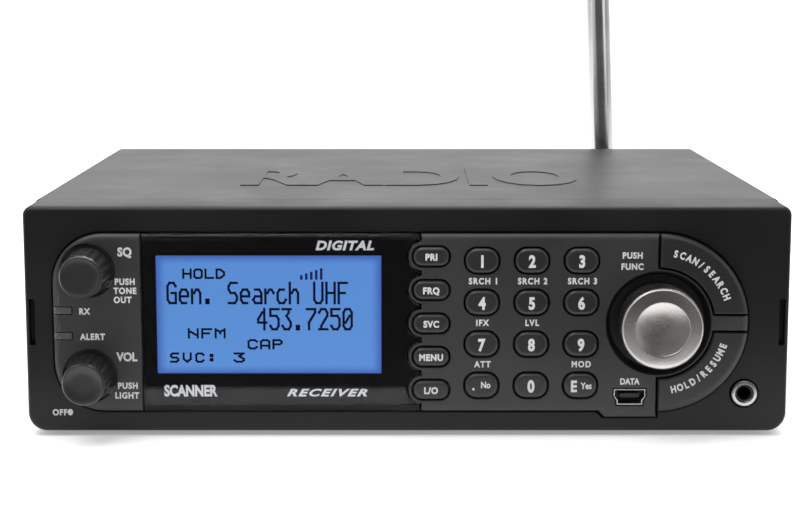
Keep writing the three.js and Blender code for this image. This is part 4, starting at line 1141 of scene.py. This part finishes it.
def build_small_knob(name):
    node = f"{name}_knob"
    low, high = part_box(node)
    at = small_knobs[name]
    rear_radius = at.x - low.x
    front_radius = rear_radius - 0.4 * MM
    place = Matrix.Translation((at.x, 0, at.z))
    bm = bmesh.new()
    face = low.y
    face_radius = front_radius - 0.75 * MM
    profile = [(0, face + 0.42 * MM), (face_radius * 0.5, face + 0.38 * MM),
               (face_radius - 0.3 * MM, face + 0.22 * MM), (face_radius - 0.05 * MM, face + 0.05 * MM),
               (face_radius + 0.05 * MM, face),
               (face_radius + 0.22 * MM, face), (face_radius + 0.32 * MM, face + 0.05 * MM),
               (front_radius - 0.1 * MM, face + 0.55 * MM), (front_radius, face + 0.8 * MM, 0.5),
               (front_radius + 0.05 * MM, face + 1.3 * MM, 1), (rear_radius, high.y - 1.2 * MM, 1),
               (rear_radius, high.y - 0.5 * MM, 0.0), (rear_radius - 0.2 * MM, high.y), (0, high.y)]
    turned(bm, profile, place, KNOB_FLUTES * 10, KNOB_FLUTES, KNOB_FLUTE_DEPTH)
    fin_front, fin_back = face + 5.4 * MM, face + 9.4 * MM
    reach = rear_radius + 1.0 * MM
    outline = round_rect(0, reach, -POINTER_WIDTH / 2, POINTER_WIDTH / 2, 0.3 * MM, count=3)
    angle = math.radians(POINTER_ANGLE)
    c, s = math.cos(angle), math.sin(angle)
    spin = [(at.x + x * c - z * s, at.z + x * s + z * c) for x, z in outline]
    closed_sweep(bm, tidy_loop(spin), rounded(0.25 * MM, fin_front, 3) + [(0, fin_back)])
    finish_mesh(f"{node}_body", bm, knob_plastic, f"{name}_dial", [node], smooth=30)


for knob_name in small_knobs:
    build_small_knob(knob_name)


# ---------------------------------------------------------------------------------------------
# Data port and phones socket: a folded steel shell round a black tongue, and a threaded steel
# bush round a bore.

steel = finish("bright_steel", (0.44, 0.44, 0.44), (0.50, 0.50, 0.50), 0.24, metallic=1.0, grain=1800,
               height=0.05)
socket_black = finish("socket_black", (0.010, 0.010, 0.010), (0.014, 0.013, 0.012), 0.45, grain=3000,
                      height=0.1)
PORT_WALL = 0.3 * MM


def build_data_port():
    bm = bmesh.new()
    outer, inner = port_loop(0), port_loop(-PORT_WALL)
    outer_front, outer_rear = sweep(bm, outer, rounded(0.1 * MM, port_low.y, 3) + [(0, port_high.y)])
    profile = rounded(0.08 * MM, port_low.y, 3) + [(0, port_high.y - 0.5 * MM)]
    inner_front, inner_rear = sweep(bm, inner, profile, -1)
    cap(bm, outer_front, inner_front)
    cap(bm, outer_rear)
    cap(bm, inner_rear)
    finish_mesh("data_port_shell", bm, steel, "root", ["data_port"])
    bm = bmesh.new()
    back = [(0, port_high.y - 0.6 * MM)]
    tongue = tidy_loop(round_rect(port.x - 2.3 * MM, port.x + 2.3 * MM, port.z - 0.3 * MM,
                                  port.z + 0.75 * MM, 0.15 * MM, count=3))
    closed_sweep(bm, tongue, rounded(0.12 * MM, port_low.y + 0.9 * MM, 2) + back)
    closed_sweep(bm, port_loop(-PORT_WALL - 0.05 * MM), [(0, port_low.y + 3.4 * MM)] + back)
    finish_mesh("data_port_tongue", bm, socket_black, "root")


def build_phones_socket():
    front, rear = (corner.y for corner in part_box("phones_socket"))
    bore = 1.95 * MM
    bm = bmesh.new()
    place = Matrix.Translation((phones.x, 0, phones.z))
    profile = [(0, front + 9 * MM), (bore, front + 9 * MM), (bore, front + 0.5 * MM),
               (bore + 0.25 * MM, front + 0.15 * MM), (bore + 0.35 * MM, front),
               (PHONES_RADIUS - 0.35 * MM, front), (PHONES_RADIUS - 0.2 * MM, front + 0.05 * MM),
               (PHONES_RADIUS, front + 0.3 * MM), (PHONES_RADIUS, rear), (0, rear)]
    turned(bm, profile, place, 64)
    finish_mesh("phones_socket_bush", bm, steel, "root", ["phones_socket"], smooth=25)
    bm = bmesh.new()
    profile = [(0, front + 8.8 * MM), (bore - 0.02 * MM, front + 8.8 * MM),
               (bore - 0.02 * MM, front + 0.7 * MM), (bore - 0.25 * MM, front + 0.8 * MM),
               (bore - 0.35 * MM, front + 8.6 * MM), (0, front + 8.6 * MM)]
    turned(bm, profile, place, 48)
    finish_mesh("phones_socket_liner", bm, socket_black, "root")


build_data_port()
build_phones_socket()


# ---------------------------------------------------------------------------------------------
# Case: a folded steel tray with a folded steel cover over it, both in satin grey paint, a black
# rear panel, and four rubber feet. Pan-head screws hold the cover, the panel and the feet.

COVER_SHEET = 1.0 * MM
COVER_RADIUS = 1.2 * MM
COVER_HOLE = 3.0 * MM
RELIEF_HEIGHT = 42 * MM
RELIEF_PLACE = (1.5 * MM, -13 * MM)
RELIEF = 0.45 * MM
cover_holes = [(-26.4 * MM, 29.4 * MM), (33.6 * MM, 29.4 * MM)]
grey_paint = finish("grey_paint", (0.026, 0.026, 0.027), (0.031, 0.031, 0.032), 0.42, grain=2600, height=0.30,
                    drift_amount=0.04, specular=0.2)
tray_paint = finish("tray_paint", (0.060, 0.060, 0.061), (0.072, 0.072, 0.073), 0.42, grain=2600,
                    height=0.3)
black_paint = finish("black_paint", (0.014, 0.014, 0.014), (0.018, 0.018, 0.018), 0.45, grain=2600,
                     height=0.3)
screw_steel = finish("screw_steel", (0.10, 0.10, 0.10), (0.13, 0.13, 0.13), 0.32, metallic=1.0,
                     grain=2000)
foot_rubber = finish("foot_rubber", (0.016, 0.016, 0.016), (0.021, 0.021, 0.021), 0.72, grain=2400,
                     height=0.4)

body_of = {node: body for body, names in frame["record"]["behaviour"]["bodies"].items() for node in names}
slot_of = {name: node.data.materials[0].name for name, node in frame["nodes"].items()}
cover_low, cover_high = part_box("top_cover")


def build_cover():
    """The cover's outer and inner skins follow one path over the top; the sides have the holes."""
    bm = bmesh.new()
    skins = []
    for shift in (0, COVER_SHEET):
        left, right, top = cover_low.x + shift, cover_high.x - shift, cover_high.z - shift
        radius = COVER_RADIUS - shift
        path = ([(left, cover_low.z)] + arc(left + radius, top - radius, radius, 180, 90, 6)
                + arc(right - radius, top - radius, radius, 90, 0, 6) + [(right, cover_low.z)])
        rows = [ring(bm, path, y) for y in (cover_low.y, cover_high.y)]
        rims = []
        for i in range(len(path) - 1):
            corners = (rows[0][i], rows[0][i + 1], rows[1][i + 1], rows[1][i])
            if 0 < i < len(path) - 2:
                bm.faces.new(corners)
                continue
            x = path[i][0]
            holes = [[bm.verts.new((x, y + COVER_HOLE * math.cos(t), z + COVER_HOLE * math.sin(t)))
                      for t in (2 * math.pi * k / 40 for k in range(40))] for y, z in cover_holes]
            cap(bm, list(corners), *holes)
            rims.append(holes)
        skins.append((rows, rims))
    (outer_rows, outer_rims), (inner_rows, inner_rims) = skins
    for outer, inner in zip(outer_rows, inner_rows):
        for i in range(len(outer) - 1):
            bm.faces.new((outer[i], outer[i + 1], inner[i + 1], inner[i]))
    for end in (0, -1):
        bm.faces.new((outer_rows[0][end], outer_rows[1][end], inner_rows[1][end], inner_rows[0][end]))
    for outer_side, inner_side in zip(outer_rims, inner_rims):
        for outer, inner in zip(outer_side, inner_side):
            strip(bm, outer, inner)
    finish_mesh("top_cover_shell", bm, grey_paint, "root", ["top_cover"], smooth=30)
    word = text_mesh("RADIO", RELIEF_HEIGHT, narrow=0.5, bold=0.035, spacing=1.05)
    word.transform(Matrix.Scale(RELIEF / INK, 4, Vector((0, 1, 0))))
    word.transform(Matrix.Rotation(math.radians(-90), 4, "X"))
    word.transform(Matrix.Translation((*RELIEF_PLACE, cover_high.z)))
    bm = bmesh.new()
    bm.from_mesh(word)
    bpy.data.meshes.remove(word)
    finish_mesh("top_cover_relief", bm, grey_paint, "root")


def softened(node, material, width=0.15 * MM, smooth=30):
    """Remakes a pressed or moulded piece with its sharp edges eased."""
    bm = bmesh.new()
    bm.from_mesh(frame["nodes"][node].data)
    bmesh.ops.remove_doubles(bm, verts=bm.verts, dist=1e-7)
    bmesh.ops.dissolve_limit(bm, angle_limit=math.radians(1), verts=bm.verts, edges=bm.edges)
    sharp = [e for e in bm.edges if len(e.link_faces) == 2 and e.calc_face_angle(0) > math.radians(40)]
    bmesh.ops.bevel(bm, geom=sharp, offset=width, segments=2, profile=0.5, affect="EDGES", clamp_overlap=True)
    bmesh.ops.triangulate(bm, faces=[f for f in bm.faces if len(f.verts) > 4])
    return finish_mesh(f"{node}_form", bm, material, body_of[node], [node], smooth)


def build_foot(node):
    low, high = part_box(node)
    at = middle_of(node)
    radius, edge = (high.x - low.x) / 2, 0.7 * MM
    bm = bmesh.new()
    place = Matrix.Translation((at.x, at.y, 0)) @ Matrix.Rotation(math.radians(90), 4, "X")
    profile = [(0, low.z + 0.5 * MM), (radius - 2.6 * MM, low.z + 0.5 * MM),
               (radius - 2.2 * MM, low.z + 0.1 * MM), (radius - 2.0 * MM, low.z),
               (radius - edge, low.z), (radius - 0.3 * edge, low.z + 0.3 * edge),
               (radius, low.z + edge), (radius, high.z), (0, high.z)]
    turned(bm, profile, place, 64)
    finish_mesh(f"{node}_pad", bm, foot_rubber, "root", [node])


SCREW_RADIUS = 2.5 * MM
SCREW_HEIGHT = 1.3 * MM
FACING = {"front": (0, 0, 0), "rear": (0, 0, math.pi), "left": (0, 0, -math.pi / 2),
          "right": (0, 0, math.pi / 2), "down": (math.pi / 2, 0, 0), "up": (-math.pi / 2, 0, 0)}


def screw_head(radius, height):
    """A pan head that faces along its own -Y, with a cross recess."""
    bm = bmesh.new()
    profile = [(radius * 0.62, -height), (radius * 0.80, -height * 0.92), (radius * 0.94, -height * 0.68),
               (radius, -height * 0.35), (radius, 0), (0, 0)]
    loops = []
    for r, y in profile[:-1]:
        loops.append([bm.verts.new((r * math.cos(t), y, r * math.sin(t)))
                      for t in (2 * math.pi * i / 40 for i in range(40))])
    for first, second in zip(loops, loops[1:]):
        strip(bm, first, second)
    bm.faces.new(loops[-1])
    arm, half = radius * 0.5, radius * 0.11
    quarter = [(arm, -half), (arm, half), (half, half)]
    cross = []
    for turn in range(4):
        c, s = (1, 0, -1, 0)[turn], (0, 1, 0, -1)[turn]
        cross += [(x * c - z * s, x * s + z * c) for x, z in quarter]
    top, bottom = ring(bm, cross, -height), ring(bm, [(x * 0.7, z * 0.7) for x, z in cross], -height * 0.4)
    strip(bm, top, bottom)
    bm.faces.new(bottom)
    cap(bm, loops[0], top)
    return bm


rear_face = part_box("rear_panel")[1].y


def build_screws():
    rear = [((side * 82.5 * MM, rear_face, z), FACING["rear"])
            for side in (-1, 1) for z in (10 * MM, 49 * MM)]
    rear.append(((0, rear_face, 49 * MM), FACING["rear"]))
    flush = cover_high.x - SCREW_HEIGHT + 0.12 * MM  # the side screws sit in dimples in the sheet
    sides = [((side * flush, y, z), FACING["right" if side > 0 else "left"])
             for side in (-1, 1) for y, z in ((-57 * MM, 10 * MM), (62 * MM, 10 * MM), (62 * MM, 46 * MM))]
    under = [((x, y, cover_low.z), FACING["down"]) for x, y in
             ((-60 * MM, -60 * MM), (60 * MM, -60 * MM), (0, 60 * MM))]
    copies("case_screws", screw_head(SCREW_RADIUS, SCREW_HEIGHT), rear + sides + under, screw_steel,
           "root")


def rear_legends():
    """The words over the rear sockets, turned about each socket's upright axis to face the rear."""
    y = rear_face + INK / 2
    names = {"ANT": "aerial_socket", "DC 12V": "power_socket", "EXT SP": "external_speaker_socket"}
    lines = []
    for text, node in names.items():
        at = middle_of(node)
        lines.append((text, at.x, at.z + 9.5 * MM, 2.2 * MM, {"bold": 0.02}))
    piece = legends("rear_legends", lines, 0)
    for v in piece.data.vertices:
        v.co.y = y - v.co.y
    middle = {text: middle_of(node).x for text, node in names.items()}
    for v in piece.data.vertices:
        nearest = min(middle.values(), key=lambda x: abs(x - v.co.x))
        v.co.x = 2 * nearest - v.co.x


build_cover()
softened("rear_panel", black_paint)
softened("case_tray", tray_paint, 0.12 * MM)
for foot in ("foot_front_left", "foot_front_right", "foot_rear_left", "foot_rear_right"):
    build_foot(foot)
build_screws()
rear_legends()


# ---------------------------------------------------------------------------------------------
# Rear sockets: a nickel bayonet socket for the antenna, and black moulded sockets for power and
# an outside speaker.

nickel = finish("nickel_plate", (0.52, 0.50, 0.47), (0.58, 0.56, 0.53), 0.22, metallic=1.0, grain=1500,
                height=0.04)
softened("aerial_socket", nickel, 0.12 * MM)
softened("power_socket", socket_black, 0.2 * MM)
softened("external_speaker_socket", socket_black, 0.2 * MM)


# ---------------------------------------------------------------------------------------------
# Antenna: a chromed telescopic rod of four nested tubes on a hinged elbow, with a knurled
# bayonet collar that swivels on the socket.

chrome = finish("chrome_plate", (0.58, 0.58, 0.585), (0.64, 0.64, 0.645), 0.22, metallic=1.0, grain=800,
                drift=90, height=0.015, drift_amount=0.03)
joints = {joint["name"]: joint for joint in frame["joints"]}
mast_way = Vector(joints["antenna_pull_2"]["axis"]).normalized()
hinge_way = Vector(joints["antenna_fold"]["axis"]).normalized()
pivot = Vector(joints["antenna_fold"]["pos_m"])


def frame_at(origin, x_way, z_way):
    x_way = (x_way - z_way * x_way.dot(z_way)).normalized()
    y_way = z_way.cross(x_way)
    turn = Matrix((x_way, y_way, z_way)).transposed().to_4x4()
    return Matrix.Translation(origin) @ turn


mast = frame_at(pivot, hinge_way, mast_way)
along_mast = mast @ Matrix.Rotation(math.radians(90), 4, "X")
along_hinge = mast @ Matrix.Rotation(math.radians(-90), 4, "Z")
TUBE_RADIUS = 3.7 * MM
TUBE_STEP = 0.8 * MM
TUBE_WALL = 0.5 * MM
EAR_RADIUS = 4.4 * MM
COLLAR_RIDGES = 60
FERRULE_BOTTOM = 7.4 * MM
FERRULE_TOP = 19.4 * MM
TUBE_BOTTOM = 11.4 * MM
TUBE_TOP = 151.4 * MM


def build_tubes():
    bodies = ["antenna_mast", "antenna_stage_2", "antenna_stage_3"]
    for stage, body in enumerate(bodies):
        node = f"antenna_tube_{stage + 1}"
        radius = TUBE_RADIUS - stage * TUBE_STEP
        bottom, top = TUBE_BOTTOM + 3 * MM * stage, TUBE_TOP + 1.5 * MM * stage
        bore = radius - TUBE_WALL
        bm = bmesh.new()
        profile = [(bore, bottom), (radius, bottom), (radius, top - 1.0 * MM),
                   (radius - 0.15 * MM, top - 0.3 * MM), (radius - 0.3 * MM, top), (bore, top)]
        turned(bm, profile, along_mast, 48)
        finish_mesh(f"{node}_chrome", bm, chrome, body, [node])
    tip_radius = TUBE_RADIUS - 3 * TUBE_STEP
    bottom, top = TUBE_BOTTOM + 9 * MM, TUBE_TOP + 4.5 * MM
    cap_radius, cap_top = 3.2 * MM, top + 6 * MM
    bm = bmesh.new()
    profile = [(0, bottom), (tip_radius, bottom), (tip_radius, top), (cap_radius - 0.3 * MM, top),
               (cap_radius, top + 0.3 * MM), (cap_radius, cap_top - 1.4 * MM),
               (cap_radius - 0.35 * MM, cap_top - 0.7 * MM), (cap_radius - 1.1 * MM, cap_top - 0.15 * MM),
               (cap_radius - 1.8 * MM, cap_top), (0, cap_top)]
    turned(bm, profile, along_mast, 48)
    finish_mesh("antenna_tip_chrome", bm, chrome, "antenna_stage_4", ["antenna_tip"])


def build_elbow():
    bm = bmesh.new()
    half, radius = 1.9 * MM, EAR_RADIUS - 0.3 * MM
    bore = 1.7 * MM
    profile = [(bore, -half), (radius - 0.3 * MM, -half), (radius, -half + 0.3 * MM),
               (radius, half - 0.3 * MM), (radius - 0.3 * MM, half), (bore, half)]
    turned(bm, profile, along_hinge, 48)
    width = EAR_RADIUS - 1.5 * MM
    loop = round_rect(-half, half, -width, width, 0.3 * MM, count=3)
    rows = []
    for z in (2.2 * MM, FERRULE_BOTTOM + 1 * MM):
        rows.append([bm.verts.new(mast @ Vector((x, y, z))) for x, y in loop])
    strip(bm, rows[0], rows[1])
    for row in rows:
        bm.faces.new(row)
    ferrule = TUBE_RADIUS + 0.9 * MM
    bore = TUBE_RADIUS + 0.3 * MM
    profile = [(0, FERRULE_BOTTOM), (ferrule - 0.6 * MM, FERRULE_BOTTOM),
               (ferrule, FERRULE_BOTTOM + 0.6 * MM), (ferrule, FERRULE_TOP - 0.25 * MM),
               (ferrule - 0.25 * MM, FERRULE_TOP), (bore, FERRULE_TOP), (bore, TUBE_BOTTOM - 0.3 * MM),
               (0, TUBE_BOTTOM - 0.3 * MM)]
    turned(bm, profile, along_mast, 48)
    finish_mesh("antenna_elbow_chrome", bm, chrome, "antenna_mast",
                ["antenna_elbow"])


def build_plug():
    """The collar, its ears and the pivot pin, then a band of straight knurling on the collar."""
    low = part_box("antenna_plug")[0]
    at = joints["antenna_turn"].get("pos_m") or list(middle_of("antenna_plug"))
    place = Matrix.Translation((at[0], 0, at[2]))
    radius, bore = 7.19 * MM, 6.3 * MM
    front, rear = low.y, low.y + 13.5 * MM
    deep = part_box("aerial_socket")[1].y + 0.3 * MM
    bm = bmesh.new()
    profile = [(bore, front), (radius - 0.55 * MM, front), (radius - 0.2 * MM, front + 0.35 * MM),
               (radius - 0.2 * MM, rear - 2.6 * MM), (radius - 0.5 * MM, rear - 2.2 * MM),
               (radius - 0.5 * MM, rear - 0.6 * MM), (radius - 1.1 * MM, rear), (0, rear), (0, deep),
               (bore, deep)]
    turned(bm, profile, place, 72)
    for side in (-1, 1):
        inner, outer = side * 2.2 * MM, side * 4.3 * MM
        turned(bm, [(0, inner), (EAR_RADIUS, inner), (EAR_RADIUS, outer - side * 0.3 * MM),
                    (EAR_RADIUS - 0.3 * MM, outer), (0, outer)], along_hinge, 48)
        ears = frame_at(pivot, hinge_way, hinge_way.cross(Vector((0, 1, 0))))
        rows = []
        for x in sorted((inner, outer)):
            rows.append([bm.verts.new(ears @ Vector((x, y, z))) for y, z in
                         ((0, -EAR_RADIUS), (rear - pivot.y - 0.5 * MM, -EAR_RADIUS),
                          (rear - pivot.y - 0.5 * MM, EAR_RADIUS), (0, EAR_RADIUS))])
        strip(bm, rows[0], rows[1])
        for row in rows:
            bm.faces.new(row)
    turned(bm, [(0, -3.4 * MM), (1.4 * MM, -3.4 * MM), (1.4 * MM, 3.4 * MM), (0, 3.4 * MM)], along_hinge, 32)
    finish_mesh("antenna_plug_chrome", bm, chrome, "antenna_swivel",
                ["antenna_plug"])
    base = radius - 0.25 * MM
    crest = base + 0.24 * MM
    low = 0.05 / 0.24
    stations = [(front + 0.9 * MM, low), (front + 1.1 * MM, 1), (rear - 3.4 * MM, 1), (rear - 3.2 * MM, low)]
    knurl("antenna_plug_knurl", (at[0], at[2]), COLLAR_RIDGES, math.pi * base / COLLAR_RIDGES * 0.9, base,
          crest, stations, chrome, "antenna_swivel")


build_tubes()
build_elbow()
build_plug()


# ---------------------------------------------------------------------------------------------
# Inside, seen through the speaker slots and openings: circuit boards, a screening can, the
# speaker, the rubber mat, and the switches behind the knobs.

INNER_FINISHES = {
    "board": finish("circuit_board", (0.012, 0.060, 0.030), (0.016, 0.085, 0.040), 0.35, grain=900,
                    drift=260, height=0.1, coat=0.4),
    "steel": finish("tinned_steel", (0.42, 0.42, 0.41), (0.50, 0.50, 0.49), 0.34, metallic=1.0, grain=1200),
    "rubber": foot_rubber,
    "silicone": finish("silicone_mat", (0.10, 0.10, 0.11), (0.12, 0.12, 0.13), 0.7, grain=2000),
    "black_plastic": socket_black,
    "spun_metal": knurl_metal,
    "chrome": chrome,
    "display": finish("module_frame", (0.016, 0.016, 0.018), (0.020, 0.020, 0.022), 0.5),
    "key": key_plastic,
    "panel": panel_plastic,
    "bezel": bezel_plastic,
    "cover": grey_paint,
    "tray": tray_paint,
    "lens": smoked_plastic,
    "light_pipe": smoked_plastic,
}
for node_name, node in frame["nodes"].items():
    if slot_of[node_name] in INNER_FINISHES:
        node.data.materials[0] = INNER_FINISHES[slot_of[node_name]]


# ---------------------------------------------------------------------------------------------
# Studio: a near-white sweep under and behind the object, a wide soft light above and weaker ones in
# front and at the sides, and darker surroundings in front, so the black plastics stay dark.

FLOOR_FRONT = -0.137  # the floor nearer than this is left out of reflections
FLOOR_NEAR = -2.5
FLOOR_FAR = 0.9
FLOOR_HALF_WIDTH = 3
FLOOR_DROP = 0.0002  # below the feet, so that nothing is coplanar
SWEEP_RADIUS = 0.5
WALL_TOP = 2.4


def build_studio():
    white = finish("studio_white", (0.90, 0.90, 0.90), (0.92, 0.92, 0.92), 0.9, grain=200, drift=2,
                   height=0.0, specular=0.1)
    nodes = white.node_tree.nodes
    nodes["Principled BSDF"].inputs["Emission Color"].default_value = (1, 1, 1, 1)
    nodes["Principled BSDF"].inputs["Emission Strength"].default_value = 0.3
    links = white.node_tree.links
    clear = nodes.new("ShaderNodeBsdfTransparent")  # the sweep's back is clear, for views from behind
    sides = nodes.new("ShaderNodeNewGeometry")
    mix = nodes.new("ShaderNodeMixShader")
    links.new(sides.outputs["Backfacing"], mix.inputs["Fac"])
    links.new(nodes["Principled BSDF"].outputs["BSDF"], mix.inputs[1])
    links.new(clear.outputs["BSDF"], mix.inputs[2])
    links.new(mix.outputs["Shader"], nodes["Material Output"].inputs["Surface"])
    turn = arc(FLOOR_FAR, SWEEP_RADIUS, SWEEP_RADIUS, -90, 0, 10)
    wall = [(FLOOR_FAR + SWEEP_RADIUS, WALL_TOP)]
    pieces = {"studio_sweep": [(FLOOR_FRONT, 0.0)] + turn + wall,
              "studio_front_floor": [(FLOOR_NEAR, 0.0), (FLOOR_FRONT, 0.0)]}
    for name, profile in pieces.items():
        bm = bmesh.new()
        rows = [[bm.verts.new((x, y, z - FLOOR_DROP)) for y, z in profile]
                for x in (-FLOOR_HALF_WIDTH, FLOOR_HALF_WIDTH)]
        for i in range(len(profile) - 1):
            bm.faces.new((rows[0][i], rows[1][i], rows[1][i + 1], rows[0][i + 1]))
        mesh = bpy.data.meshes.new(name)
        bm.to_mesh(mesh)
        bm.free()
        mesh.materials.append(white)
        mesh.shade_smooth()
        piece = bpy.data.objects.new(name, mesh)
        bpy.context.scene.collection.objects.link(piece)
    front_floor = piece
    front_floor.visible_glossy = False
    front_floor.visible_transmission = False


def soft_light(name, place, aim, width, depth, power):
    light = bpy.data.lights.new(name, "AREA")
    light.shape = "RECTANGLE"
    light.size = width
    light.size_y = depth
    light.energy = power
    holder = bpy.data.objects.new(name, light)
    holder.location = place
    direction = Vector(aim) - Vector(place)
    holder.rotation_euler = direction.to_track_quat("-Z", "Y").to_euler()
    bpy.context.scene.collection.objects.link(holder)


def surroundings():
    world = bpy.data.worlds.new("surroundings")
    world.use_nodes = True
    nodes, links = world.node_tree.nodes, world.node_tree.links
    back = nodes["Background"]
    place = nodes.new("ShaderNodeTexCoord")
    parts = nodes.new("ShaderNodeSeparateXYZ")
    ramp = nodes.new("ShaderNodeMapRange")
    ramp.interpolation_type = "SMOOTHSTEP"
    ramp.inputs["From Min"].default_value = -0.85
    ramp.inputs["From Max"].default_value = 0.35
    ramp.inputs["To Min"].default_value = 0.11
    ramp.inputs["To Max"].default_value = 0.62
    links.new(place.outputs["Generated"], parts.inputs["Vector"])
    links.new(parts.outputs["Y"], ramp.inputs["Value"])
    links.new(ramp.outputs["Result"], back.inputs["Strength"])
    back.inputs["Color"].default_value = (1.0, 0.995, 0.985, 1)
    bpy.context.scene.world = world


CAMERA_PLACE = (-1.73 * MM, -521.4 * MM, 109.7 * MM)
CAMERA_TILT = 8.79  # degrees down
CAMERA_LENS = 83.6


def build_camera():
    camera = bpy.data.cameras.new("front_camera")
    camera.sensor_width = 36
    camera.lens = CAMERA_LENS
    camera.clip_start = 0.01
    holder = bpy.data.objects.new("front_camera", camera)
    holder.location = CAMERA_PLACE
    holder.rotation_euler = (math.radians(90 - CAMERA_TILT), 0, 0)
    bpy.context.scene.collection.objects.link(holder)
    bpy.context.scene.camera = holder


build_studio()
low_aim, side_aim = (0, -0.05, 0.03), (0, -0.05, 0.1)
soft_light("top_softbox", (-0.05, 0.0, 0.95), low_aim, 1.4, 0.42, 8)
soft_light("backdrop_light", (0, 0.55, 1.5), (0, 1.4, 0.25), 2.6, 0.6, 14)
soft_light("front_softbox", (-0.05, -0.62, 0.80), low_aim, 1.4, 0.55, 3.5)
soft_light("left_softbox", (-0.9, -0.45, 0.32), side_aim, 1.0, 0.7, 1.5)
soft_light("right_softbox", (0.9, -0.6, 0.35), side_aim, 0.5, 0.66, 1.3)
surroundings()
build_camera()
bpy.context.scene.view_settings.view_transform = "Standard"
